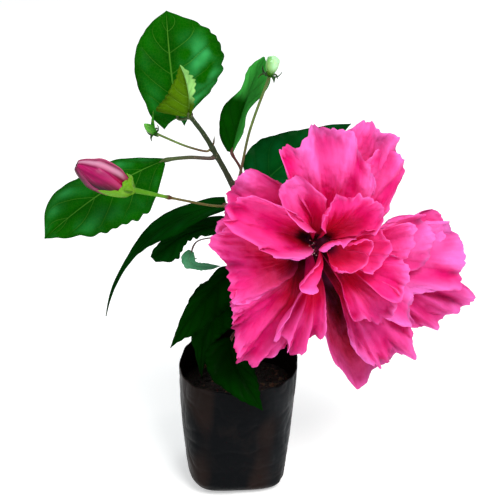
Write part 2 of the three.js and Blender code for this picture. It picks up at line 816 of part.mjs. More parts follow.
function budCalyx() {
  const cup = spindle(BUD_FOOT, budAxis, budLength, BUD_CALYX, BUD_SIDES);
  const end = BUD_FOOT.clone().addScaledVector(budAxis, 1);
  return fused([cup, stalk(BUD_STALK.height, [...BUD_STALK.via.map(vector), end], BUD_STALK.radius)]);
}

function greenBud(bud) {
  const foot = vector(bud.foot);
  const axis = vector(bud.tip).sub(foot);
  const length = axis.length();
  axis.normalize();
  const head = spindle(foot, axis, length, bud.profile, BUD_SIDES);
  const end = foot.clone().addScaledVector(axis, 1);
  const stem = stalk(bud.height, [...bud.via.map(vector), end], bud.radius);
  const bracts = Array.from({ length: bud.bracts }, (_, number) => {
    const angle = (number / bud.bracts) * 2 * Math.PI;
    return scale(foot, axis, angle, [1.2, 1], [length * 0.45, bud.bractReach], BRACT.half, BRACT.thickness);
  });
  return fused([head, stem, ...bracts]);
}

const colours = {
  film: new THREE.MeshStandardMaterial({ color: 0x1b1e22, roughness: 0.35 }),
  soil: new THREE.MeshStandardMaterial({ color: 0x2c1d14, roughness: 1 }),
  bark: new THREE.MeshStandardMaterial({ color: 0x4a3f2c, roughness: 0.8 }),
  leaf: new THREE.MeshStandardMaterial({ color: 0x136a12, roughness: 0.4 }),
  darkLeaf: new THREE.MeshStandardMaterial({ color: 0x0a3d12, roughness: 0.4 }),
  youngLeaf: new THREE.MeshStandardMaterial({ color: 0x6d8a1c, roughness: 0.45 }),
  paleLeaf: new THREE.MeshStandardMaterial({ color: 0x5cb584, roughness: 0.5 }),
  petal: new THREE.MeshStandardMaterial({ color: 0xf2358a, roughness: 0.6 }),
  bud: new THREE.MeshStandardMaterial({ color: 0xb51a5c, roughness: 0.5 }),
  calyx: new THREE.MeshStandardMaterial({ color: 0x83a92d, roughness: 0.5 }),
};

const LEAF_COLOURS = {
  leaf_top: 'leaf',
  leaf_left: 'leaf',
  leaf_young: 'youngLeaf',
  leaf_pale: 'paleLeaf',
};

const plant = new THREE.Group();

function add(name, geometry, colour) {
  const mesh = new THREE.Mesh(geometry, colours[colour]);
  mesh.name = name;
  plant.add(mesh);
}

add('bag', bag(), 'film');
add('soil', soil(), 'soil');
add('main_stem', limb(STEM_POINTS.map(vector), stemRadius, STEM.steps, STEM.sides), 'bark');
for (const leaf of LEAVES) {
  add(leaf.name, leafBody(leaf), LEAF_COLOURS[leaf.name] ?? 'darkLeaf');
}
add('bloom', bloom(), 'petal');
add('bloom_calyx', bloomCalyx(), 'calyx');
add('bud_petals', budPetals(), 'bud');
add('bud_calyx', budCalyx(), 'calyx');
for (const bud of GREEN_BUDS) {
  add(bud.name, greenBud(bud), 'calyx');
}

export default plant;
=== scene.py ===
import math
from collections import namedtuple

import bpy
import numpy as np
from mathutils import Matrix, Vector, noise


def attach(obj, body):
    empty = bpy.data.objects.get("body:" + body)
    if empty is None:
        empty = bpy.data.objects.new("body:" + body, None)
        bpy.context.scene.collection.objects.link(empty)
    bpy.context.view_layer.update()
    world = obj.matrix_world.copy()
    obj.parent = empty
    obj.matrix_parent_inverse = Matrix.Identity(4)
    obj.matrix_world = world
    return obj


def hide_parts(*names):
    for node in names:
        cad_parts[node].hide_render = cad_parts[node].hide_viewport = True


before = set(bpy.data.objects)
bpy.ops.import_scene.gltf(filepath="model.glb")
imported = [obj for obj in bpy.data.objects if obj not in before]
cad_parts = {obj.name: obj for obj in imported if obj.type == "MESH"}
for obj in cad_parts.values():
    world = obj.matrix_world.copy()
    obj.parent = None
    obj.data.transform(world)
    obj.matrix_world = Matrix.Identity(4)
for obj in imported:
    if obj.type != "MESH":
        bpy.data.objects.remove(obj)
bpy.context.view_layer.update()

# A young double hibiscus in a black nursery bag. Sizes are in millimetres until a mesh is made.

MM = 0.001


def srgb(red, green, blue):
    """A colour as a screen shows it, from 0 to 255, as the linear values that materials take."""
    c = np.array((red, green, blue)) / 255
    return np.where(c <= 0.04045, c / 12.92, ((c + 0.055) / 1.055) ** 2.4)


# The camera looks at the plant from the front, 25 degrees above level.
PHOTO_PIXELS = 500
PHOTO_FOCAL_PIXELS = 1129.03
CAMERA_RISE = 25
CAMERA_DISTANCE = 700
CAMERA_TARGET = (6.5, 0, 162)
LIGHT_TARGET = (0, 0, 160)
FLOOR_REACH = 24000

# The bag is round at its rim, and boxy and a little turned at its foot. A box value is the power of that
# rounded outline, 2 for a circle and more for a box. The foot's middle lies to the left of the rim's, and
# its bottom corner is larger on the left by CORNER_UNEVEN.
RIM_RADIUS = 38
RIM_BOX = 2.15
RIM_MIDDLE = -1
FOOT_WIDTH = 30.5
FOOT_DEPTH = 33
FOOT_BOX = 4.5
FOOT_TURN = 8
FOOT_MIDDLE = -4.6
FOOT_CORNER = 9
CORNER_UNEVEN = 3.5
LEFT_HEIGHT = 81.5
RIGHT_HEIGHT = 83.5
BACK_HEIGHT = 88
FILM = 0.45
BAG_STEPS = 288
BAG_ROWS = 100
# Each fold is an angle, how it leans, its width and its depth.
BAG_FOLDS = [(-36, 0.35, 3.5, 1.6), (-52, -0.3, 5, 1.2), (-128, 0.2, 6, 0.8), (-150, -0.25, 4, 1.0),
             (-84, 0.5, 8, 0.5), (18, 0.3, 5, 1.2), (74, -0.3, 7, 1.0), (128, 0.25, 5, 1.2),
             (164, -0.3, 5, 1.0)]

SOIL_FOOT = 1.6
SOIL_LEVEL = 62
SOIL_MOUND = 1.5
SOIL_SIDES = 180
SOIL_CRUMBS = 260
CRUMB_REACH = 31

# The stem and what leaves it.
STEM_POINTS = [
    (0, 1, 63.85), (0.1, 1, 76), (2.4, 2, 108), (4.5, 3, 150), (0.5, 2, 191),
    (-3.8, 1, 204), (-14.4, 0, 226), (-20.6, -2, 238), (-28, -4, 249.5),
]
STEM_TOP = STEM_POINTS[-1][2]
STEM_FOOT_RADIUS = 3.2
STEM_TIP_RADIUS = 1.3
STEM_FLARE = 1.8
STEM_FLARE_LENGTH = 0.05
STEM_SUNK = 4
STEM_STEPS = 420
STEM_SIDES = 28
BARE_NODES = {229, 206, 193, 163, 93, 102}
# Each stipule is its height on the stem, its length and the way that it points.
STIPULES = [(229, 8.5, (0.15, -0.35, 1)), (225, 4, (-0.8, -0.3, 0.6)), (206, 4, (0.9, -0.2, 0.7)),
            (193, 3.5, (-0.6, -0.7, 0.5)), (249, 4, (0.1, -0.5, 1)), (186, 3.5, (-0.9, 0.1, 0.5))]

# The colours of a blade's upper side, underside, sheen and veins, with its roughness and its shine.
# The sheen is a painted highlight; on the twisted leaf it is partly its paler underside and partly painted
# light, against an upper side that is dark partly as painted shade, and on the young leaf it is a pale
# strip. The shaded look is dark as painted shade on the low leaves, which lie in shadow.
LOOKS = {
    "leaf": (srgb(10, 92, 0), srgb(40, 108, 24), srgb(60, 172, 92), srgb(108, 180, 60), 0.26, 0.015),
    "mid_leaf": (srgb(2, 72, 20), srgb(22, 78, 18), srgb(10, 108, 62), srgb(40, 116, 40), 0.28, 0.012),
    "dark_leaf": (srgb(2, 52, 3), srgb(14, 58, 8), srgb(14, 84, 34), srgb(22, 84, 16), 0.28, 0.01),
    "twisted_leaf": (srgb(5, 70, 0), srgb(36, 100, 28), srgb(66, 178, 70), srgb(34, 100, 22), 0.3, 0.01),
    "shaded_leaf": (srgb(2, 42, 0), srgb(6, 34, 3), srgb(4, 62, 4), srgb(8, 48, 4), 0.32, 0.008),
    "young_leaf": (srgb(72, 112, 2), srgb(76, 140, 44), srgb(168, 236, 132), srgb(150, 206, 90), 0.38, 0.02),
    "pale_leaf": (srgb(80, 156, 112), srgb(84, 154, 110), srgb(130, 206, 166), srgb(180, 230, 196),
                  0.45, 0.08),
}
SLOTS = {"leaf_top": "leaf", "leaf_left": "leaf", "leaf_young": "young_leaf", "leaf_pale": "pale_leaf"}

# Half widths of a blade at even steps from its foot to its tip. A plain leaf has a share of its own
# greatest half width there.
OVATE = (0.15, 0.62, 0.88, 1, 1, 0.94, 0.83, 0.66, 0.45, 0.22, 0)

# Each leaf leaves the stem at a height, and its stalk runs through the petiole places to the blade's foot.
# A face is the azimuth and rise of the upper side's normal at the blade's foot and tip. Fold is how far
# its halves are folded up, in degrees. Left and right are the half widths seen with the tip up. Teeth and
# sheen have a value for the left and one for the right, the sheen being how much painted highlight the
# upper side gets. The painted sheen ends at the share gloss_end of the blade's length, lobe is how far the
# blade reaches back beside its foot, and stalk is the stalk's radius.
Leaf = namedtuple("Leaf", "name look height petiole foot middle tip faces fold left right teeth "
                          "sheen gloss_end lobe stalk", defaults=((0.25, 0.25), 2, 0, 0.85))
LEAVES = [
    Leaf("leaf_top", "leaf", 249.5, [(-33, -2, 247.5)], (-36, 1, 247), (-40, 8, 278), (-42, 17, 307),
         [(5, 25), (0, 15)], 8, (9, 15.5, 17.5, 20, 21, 21, 20, 18, 14, 8.5, 0),
         (3, 10, 20, 26, 30, 31.5, 31, 29, 24, 14.5, 0), (0.3, 1.7), sheen=(0.1, 1.2), gloss_end=0.85,
         lobe=5),
    Leaf("leaf_young", "young_leaf", 249.5, [], (-29, -8, 251), (-29, -11, 267), (-33, -12, 283),
         [(-20, 15), (-20, 5)], 20, (18, 19, 18, 16, 14, 12, 10, 8, 5, 3, 0),
         (1, 2, 3, 4, 4.5, 5, 6, 7, 6.5, 4, 0), (1.2, 1.8)),
    Leaf("leaf_left", "leaf", 224, [(-30, 0, 223)], (-45, 0, 221), (-80, -8, 205), (-117, -16, 177),
         [(-10, 45), (-15, 40)], 8, (3, 15, 24, 28.5, 29.5, 28, 26, 22.5, 16, 9, 0),
         (1.5, 5, 9, 12.5, 14, 15, 16.5, 18, 17, 12, 0), (2.0, 0.4), sheen=(0.2, 0.4), stalk=1.15),
    Leaf("leaf_twisted", "twisted_leaf", 201, [(1, 7, 212)], (-4.5, 6, 224), (3.5, 9, 253), (15, 12, 281),
         [(-25, 5), (20, 0)], 8, (3, 8, 10.5, 12, 12, 10, 6.5, 5.5, 6.5, 5.5, 1),
         (1, 2.5, 4, 4, 3, 4, 7, 9, 9, 6, 0), (0.3, 0.3)),
    Leaf("leaf_behind", "mid_leaf", 180, [(9, 11, 187)], (14, 16, 198), (32, 21, 214), (69, 30, 234),
         [(-10, 20), (0, 30)], 6, (11, 18, 20.5, 21.5, 21, 18, 15.5, 12, 8.5, 5, 0),
         (6, 12, 15, 16, 16, 15, 13, 11, 8, 4, 0), (0.4, 0.4)),
    Leaf("leaf_droop", "dark_leaf", 186, [], (-8, 4, 191), (-58, -8, 171), (-83, -16, 124),
         [(-10, 60), (-60, 20)], 10, (5, 8, 10, 11, 9, 6.5, 4, 2.5, 1.7, 1.2, 0),
         (5, 7, 8, 8, 6.5, 5, 3.5, 2.2, 1.7, 1.2, 0), (0.3, 0.3)),
    Leaf("leaf_curled", "dark_leaf", 178, [], (-8, 9, 174), (-33, 4, 171), (-54, 0, 156),
         [(-5, 50), (-30, 0)], 10, (6, 7, 6, 5, 5, 5, 7, 10, 11, 8, 3), (6, 7, 7, 6, 5, 4.5, 4, 4, 4, 4, 2),
         (1.6, 1.2)),
    Leaf("leaf_pale", "pale_leaf", 166, [(-15, 12, 165), (-27, 10, 163)], (-30, 7, 158), (-29, 4, 150),
         (-12, 2, 150), [(-20, 10), (0, 30)], 14, (2, 4, 5, 5, 4, 3, 2.5, 2.5, 2.5, 1.5, 0),
         (2, 4, 5.5, 5, 4.5, 3, 2.5, 2.5, 2, 1.5, 0), (0.7, 0.7)),
    Leaf("leaf_low_left", "shaded_leaf", 146, [], (-3, 0, 148), (-25, -14, 130), (-43, -24, 106),
         [(-20, 40), (-25, 25)], 10, (5, 12, 15, 16, 16, 15, 13, 10, 7, 3, 0),
         (4, 8, 8, 6.5, 7, 7, 6.5, 5, 3, 1.5, 0), (0.8, 0.5)),
    Leaf("leaf_low_middle", "shaded_leaf", 137, [], (-4, -5, 139), (-20, -12, 114), (-24, -20, 82),
         [(-10, 40), (-10, 20)], 10, (6, 13, 16, 16, 14, 11, 8, 5, 3, 1.5, 0),
         (8, 14, 17, 18, 16, 13, 10, 7, 4, 2, 0), (0.8, 1.0)),
    Leaf("leaf_front", "shaded_leaf", 115, [(1, -8, 114)], (-5, -17, 109), (-0.5, -33.5, 96),
         (14.5, -47, 75), [(-5, 50), (-10, 20)], 8, (4, 8, 9.5, 10, 10, 9.5, 9, 8, 6, 3, 0),
         (4, 13, 17.5, 18, 18, 17, 14, 11, 8, 4, 0), (1.1, 0.8)),
    Leaf("leaf_back_high", "leaf", 173, [], (12, 22, 178), (39, 44, 188), (69, 64, 187),
         [(150, 50), (150, 30)], 10, 17, 17, (1.2, 1.0)),
    Leaf("leaf_back_right", "mid_leaf", 148, [], (22, 20, 158), (59, 40, 157), (101, 48, 140),
         [(120, 60), (110, 30)], 10, 18, 18, (1.2, 1.0)),
    Leaf("leaf_back_low", "leaf", 131, [], (12, 21, 138), (36, 44, 128), (66, 57, 98),
         [(150, 60), (140, 30)], 10, 16, 16, (1.2, 1.0)),
    Leaf("leaf_right_low", "mid_leaf", 122, [], (20, 4, 131), (50, 9, 132), (83, 8, 112),
         [(60, 60), (70, 30)], 10, 15, 15, (1.1, 1.1)),
    Leaf("leaf_back_left", "mid_leaf", 126, [], (-5, 10, 131), (-16, 28, 121), (-28, 45, 91),
         [(190, 50), (200, 20)], 10, 12, 12, (1.0, 1.0)),
    Leaf("leaf_back_middle", "leaf", 155, [], (4, 15, 159), (8, 40, 155), (11, 68, 129),
         [(180, 60), (180, 30)], 10, 14, 14, (1.1, 1.1)),
]
LEAF_ROWS = 112
LEAF_COLUMNS = 44
LEAF_THICKNESS = 0.5
LEAF_WAVE = 1.2
WAVES_A_LEAF = 2.3
TEETH_A_SIDE = 10
VEINS_A_SIDE = 5
VEIN_RISE = 0.34
VEIN_CURVE = 1.15
QUILT = 0.55

# The bloom faces forward, a little to the right and slightly up. A petal is a fan about a foot, which is
# a place in the plane across the bloom's axis and a depth along it. Its fan is the first and last
# direction in degrees, its reach is the distance to the margin at even steps between them, and mid and
# rise are how far forward its middle and margin lie. Folds and waves are the depth and the number of its
# waves, and frill, lip and fringe are how strongly its margin is ruffled; the fringe also pales it. The
# pale value lightens its outer part, partly its own paler margin and partly a painted highlight on the
# petals that face the light. The shade value darkens it as painted shade on the petals that lie in
# shadow. The heart value is how far out its deep red reaches: the bloom's own dark centre, made to reach
# further on shaded petals as painted shade. A spike is a direction and a height.
THROAT = np.array((48.7, -25, 178.2))
BLOOM_AXIS = np.array((0.29, -0.947, 0.139))
Petal = namedtuple("Petal", "foot fan reach mid rise folds waves pale frill lip shade heart spikes fringe",
                   defaults=(0.9, 0.0, 1.0, 10, (), 0.0))
PETALS = {
    "back": [
        Petal((7, -7, -20), (34, 72), (34, 44, 63, 68, 70, 69, 66, 58), 12, 6, 1.8, 2.5, 0.8, frill=1.1),
        Petal((8, -7, -21), (46, 94), (53, 66, 74, 78, 76, 80, 79, 73, 66, 56), 8, 2, 1.8, 3, 0.7,
              frill=1.1, shade=0.95),
        Petal((7, -7, -20), (119, 167), (46, 60, 76, 78, 78, 75, 73, 77, 62), 10, 4, 1.6, 1.8, 0.45,
              frill=1.3, shade=0.92),
        Petal((7, -8, -17), (154, 199), (70, 77, 80, 74, 68, 68, 68, 70, 58), 12, 10, 1.6, 1.3, 0.3,
              frill=1.2, shade=0.88, heart=54, fringe=0.2),
        Petal((6, -11, -19), (186, 240), (64, 69, 69, 69, 73, 78, 80, 75, 60, 44), 8, 8, 3, 3.2, 0.35,
              frill=2.1, lip=1.6, shade=0.84, heart=36),
        Petal((7, -15, -19), (253, 307), (30, 37, 46, 62, 69, 84, 85, 81, 77, 71, 65), 0, -4, 1.4, 1.4, 0.7,
              frill=0.6, shade=0.7, heart=74),
        Petal((9, -13, -17), (275, 321), (50, 61, 66, 72, 76, 75, 76, 71, 65, 57), 10, 8, 2.8, 3, 0.55,
              frill=1.9, lip=1.6, shade=0.86, heart=32),
        Petal((13, -11, -21), (305, 343), (55, 66, 78, 85, 88, 93, 95, 78), 0, -6, 3.2, 4.2, 0.4, frill=1.2,
              shade=0.74, heart=40),
        Petal((13, -9, -19), (326, 376), (55, 64, 80, 82, 80, 78, 78, 73, 70, 56), 8, 2, 1.6, 2.2, 1.3,
              heart=12),
        Petal((13, -9, -20), (352, 390), (66, 66, 66, 68, 66, 52, 40), 4, 0, 1.8, 2, 0.9, frill=1.3,
              spikes=((16, 8), (7, 4))),
    ],
    "middle": [
        Petal((5, -1, -13), (58, 124), (38, 48, 54, 56, 64, 71, 73, 75, 77, 72, 69, 73, 54), 22, 20, 1.6,
              3.4, 1.0, frill=1.1, spikes=((114, 3), (120, 4))),
        Petal((5, -2, -11), (134, 178), (40, 55, 71, 75, 75, 76, 76, 64, 54, 47, 39, 28), 16, 20, 1.2, 1.4,
              0.35, frill=1.4, lip=2.6, shade=0.94, heart=25, fringe=1.0),
        Petal((2, -10, -10), (211, 258), (20, 34, 52, 52, 53, 55, 57, 55, 47, 38), 18, 16, 3.4, 3.6, 0.4,
              frill=2.0, lip=1.2, shade=0.82, heart=24, spikes=((243, 5), (256, 3))),
        Petal((9, -8, -9), (299, 337), (42, 52, 63, 61, 54, 48, 38), 18, 14, 1.8, 1.6, 0.9, heart=22),
        Petal((9, -6, -12), (337, 387), (39, 53, 59, 59, 58, 58, 57, 56, 54, 42), 14, 10, 1.6, 1.8, 0.9),
        Petal((8, -4, -9), (345, 390), (34, 38, 41, 43, 44, 45, 44, 41, 33), 20, 18, 1.4, 1.8, 0.7),
        Petal((7, -4, -4), (318, 416), (13, 17, 20, 22, 24, 26, 27, 27, 27, 25, 20), 20, 26, 1.2, 1.8, 0.25,
              lip=1.2, heart=8),
    ],
    "inner": [
        Petal((7, -9, -5), (266, 332), (20, 31, 33, 32, 36, 40, 39, 42, 41, 40, 38, 32), 22, 26, 1.8, 2.4,
              0.35, frill=1.4, shade=0.84, heart=16),
        Petal((9, -8, -3), (310, 374), (24, 36, 36, 35, 35, 35, 34, 31, 28, 24), 26, 30, 1.4, 2, 0.5,
              heart=6),
        Petal((3, 6, -5), (107, 154), (30, 37, 44, 51, 52, 51, 47, 42, 33, 24), 16, 24, 0.8, 1, 0.75,
              frill=1.0, heart=8, fringe=0.6),
        Petal((4, 3, -3), (22, 132), (20, 30, 33, 34, 33, 32, 31, 31, 29, 26, 20), 22, 27, 0.9, 1.4, 0.3,
              frill=1.0, heart=9),
        Petal((6, -2, 4), (10, 85), (12, 15, 17, 17, 14, 12, 11), 24, 33, 1.0, 1.4, 0.25, frill=0.5,
              heart=3),
        Petal((3, -4, 6), (205, 380), (6, 7, 7, 8, 10, 13, 16, 16), 20, 28, 0.5, 1.2, 0.3, frill=0.3,
              lip=0.6, heart=4),
        Petal((2, 2, 6), (35, 168), (10, 8, 7, 7, 8, 10, 15), 20, 29, 0.8, 1.6, 1.2, frill=0.4, heart=2),
        Petal((1, -1, 2), (192, 226), (19, 24, 28, 27, 22), 28, 30, 1.6, 1.4, 0.8, frill=1.0, heart=5),
    ],
}
PETAL_ROOT = 2
PETAL_MIDDLE = 0.4
PETAL_THICKNESS = 0.4
PETAL_STEP = 0.75
# The deep red is the bloom's own dark centre, which also stands for painted shade where a petal's red
# reaches further; the pale pink is the petals' paler margin and the colour of their painted highlights.
PETAL_DEEP = srgb(76, 0, 14)
PETAL_RED = srgb(236, 4, 66)
PETAL_PINK = srgb(254, 20, 136)
PETAL_PALE = srgb(255, 124, 216)

# The column and the calyx are depths along the bloom's axis with radii there.
COLUMN = [(-24, 4.4), (-20, 5), (-8, 4), (4, 5), (9, 2.5)]
CALYX = [(-24.4, 6.5), (-27, 8), (-31, 7), (-35, 3.2), (-38, 1.9)]
BLOOM_STALK = dict(height=163, via=[(17, 6, 164), (29, 12, 169)])

# A bud's profile is shares of its length with radii there. Light and gleam are the ways that its two
# pale streaks face; both streaks are painted highlights, and the side turned from the light is painted
# darker as shade.
BUD_FOOT = np.array((-61.6, -34, 215.8))
BUD_TIP = np.array((-90.6, -40, 233.3))
BUD_PROFILE = [(0, 3), (0.1, 5), (0.22, 6.9), (0.4, 9), (0.6, 9.4), (0.8, 7.2), (0.93, 4.4), (1, 1.6)]
BUD_CUP = [(-0.07, 1.5), (-0.02, 3.2), (0.03, 5.0), (0.1, 6.4), (0.2, 7.4), (0.24, 7.5)]
BUD_LIGHT = np.array((0.15, -0.45, 0.88))
BUD_GLEAM = np.array((0.1, -0.97, 0.2))
BUD_STALK = dict(height=193, via=[(-14.5, -8, 195), (-32, -19, 203)])
# A green bud's radius is its stalk's, its reach is how far its bracts stand out, and its tones run from its
# foot to its tip, the pale one painted stronger on the side that faces +X as painted light. A strip is a
# narrow bract's foot, middle, tip and half width.
GREEN_BUDS = [
    dict(name="green_bud_right", height=206, via=[(6.5, -5, 242)], foot=(17.6, -6, 274), tip=(20.1, -6, 286),
         profile=[(0, 1), (0.18, 1.9), (0.5, 3.5), (0.8, 3.7), (1, 2)], radius=0.9, reach=7, bracts=7,
         tones=(srgb(84, 160, 16), srgb(190, 246, 186)), strips=[]),
    dict(name="green_bud_left", height=229, via=[(-30, -5, 231.5)], foot=(-48.4, -8, 240.5),
         tip=(-54.5, -10, 247), profile=[(0, 0.9), (0.2, 2), (0.55, 2.4), (0.85, 1.6), (1, 0.7)],
         radius=0.75, reach=5, bracts=5, tones=(srgb(36, 116, 14), srgb(100, 180, 66)),
         strips=[((-49.8, -7.6, 240.6), (-50.2, -7, 247), (-49.6, -5.5, 254), 1.3)]),
]


# Curves, directions and noise

def unit(a):
    return a / np.linalg.norm(a, axis=-1, keepdims=True)


def heading(azimuth, rise):
    """The direction that an azimuth from the front towards +X and a rise give, both in degrees."""
    a, r = math.radians(azimuth), math.radians(rise)
    return np.array((math.sin(a) * math.cos(r), -math.cos(a) * math.cos(r), math.sin(r)))


def square_to(axis):
    """Two directions square to an axis and to each other, of which the first is level."""
    first = unit(np.cross((0, 0, 1), axis))
    return first, np.cross(axis, first)


def spokes(count, axis, start=0.0):
    """Directions at even steps round an axis."""
    first, second = square_to(axis)
    turns = circle(count) + start
    return [first * math.cos(turn) + second * math.sin(turn) for turn in turns]


def circle(count):
    return np.arange(count) / count * 2 * math.pi


def stacked(*values):
    return np.stack(np.broadcast_arrays(*values), -1)


def smoothstep(low, high, x):
    t = np.clip((x - low) / (high - low), 0, 1)
    return t * t * (3 - 2 * t)


def mixed(a, b, share):
    share = np.asarray(share)[..., None]
    return a * (1 - share) + b * share


def bell(off):
    return np.exp(-off ** 2)


def through(foot, middle, tip):
    """The three points that steer a curve from a foot through a middle to a tip."""
    foot, middle, tip = (np.array(x, float) for x in (foot, middle, tip))
    return foot, middle * 2 - foot / 2 - tip / 2, tip


def bezier(a, b, c, t):
    t = np.asarray(t)[..., None]
    return a * (1 - t) ** 2 + b * 2 * t * (1 - t) + c * t * t


def bezier_slope(a, b, c, t):
    t = np.asarray(t)[..., None]
    return unit((b - a) * 2 * (1 - t) + (c - b) * 2 * t)


def smooth_curve(points, samples=60):
    """A centripetal Catmull-Rom curve through points, as a dense line."""
    p = [np.array(x, float) for x in points]
    p = [2 * p[0] - p[1], *p, 2 * p[-1] - p[-2]]
    line = []
    for a, b, c, d in zip(p, p[1:], p[2:], p[3:]):
        pairs = ((a, b), (b, c), (c, d))
        first, second, third = (max(1e-4, math.sqrt(np.linalg.norm(y - x))) for x, y in pairs)
        leave = ((b - a) / first - (c - a) / (first + second) + (c - b) / second) * second
        arrive = ((c - b) / second - (d - b) / (second + third) + (d - c) / third) * second
        t = np.linspace(0, 1, samples, endpoint=False)[:, None]
        cubic = 2 * b - 2 * c + leave + arrive
        square = -3 * b + 3 * c - 2 * leave - arrive
        line.append(cubic * t ** 3 + square * t ** 2 + leave * t + b)
    return np.vstack([*line, p[-2][None]])


def even_steps(line, steps):
    """Points at even distances along a dense line."""
    lengths = np.concatenate([[0], np.cumsum(np.linalg.norm(np.diff(line, axis=0), axis=1))])
    at = np.linspace(0, lengths[-1], steps + 1)
    return np.stack([np.interp(at, lengths, line[:, k]) for k in range(3)], 1)


def profile_radii(profile, levels):
    """Radii at levels from a smooth outline of levels and radii."""
    outline = smooth_curve(profile)
    return np.interp(levels, outline[:, 0], outline[:, 1])


def between(values, at):
    """A smooth curve through evenly spaced values, at places from 0 to 1."""
    v = np.array([values[0] * 2 - values[1], *values, values[-1] * 2 - values[-2]], float)
    at = np.clip(at, 0, 1) * (len(values) - 1)
    k = np.minimum(at.astype(int), len(values) - 2)
    t = at - k
    a, b, c, d = v[k], v[k + 1], v[k + 2], v[k + 3]
    return b + 0.5 * t * (c - a + t * (2 * a - 5 * b + 4 * c - d + t * (3 * (b - c) + d - a)))


def frames_along(path):
    """Two directions across each step of a path, carried along without twist."""
    slope = unit(np.gradient(path, axis=0))
    guide = np.array((0, 0, 1.0)) if abs(slope[0][2]) < 0.9 else np.array((1.0, 0, 0))
    across = unit(np.cross(slope[0], guide))
    firsts = []
    for direction in slope:
        across = unit(across - direction * (across @ direction))
        firsts.append(across)
    firsts = np.array(firsts)
    return firsts, np.cross(slope, firsts)


def tube_rings(path, radii, sides):
    """Rings about a path. The radii are one for the whole, one a step, or one a point."""
    first, second = frames_along(path)
    angle = circle(sides)[None, :, None]
    around = np.cos(angle) * first[:, None] + np.sin(angle) * second[:, None]
    radii = np.asarray(radii, float)
    if radii.ndim == 1:
        radii = radii[:, None]
    return path[:, None] + around * np.broadcast_to(radii, (len(path), sides))[..., None]


def noise_at(points, size, seed=0.0):
    """Smooth noise between -1 and 1 at points in millimetres, with lumps of a size."""
    flat = np.asarray(points, float).reshape(-1, 3) / size + seed
    return np.array([noise.noise(Vector(p)) for p in flat]).reshape(np.shape(points)[:-1])


def noise_sum(points, *layers):
    """A sum of noises, each with its strength, size and seed."""
    return sum(strength * noise_at(points, size, seed) for strength, size, seed in layers)


# Meshes

def grid_faces(rows, columns, wrap=False):
    """The quads of a grid of points, row by row."""
    wide = columns if wrap else columns + 1
    row = np.arange(rows)[:, None] * wide
    a = row + np.arange(columns)[None]
    b = row + (np.arange(columns)[None] + 1) % wide
    return np.stack([a, a + wide, b + wide, b], -1).reshape(-1, 4)


def triangles(faces):
    whole = faces[:, 3] >= 0
    return np.vstack([faces[:, :3], faces[whole][:, [0, 2, 3]]])


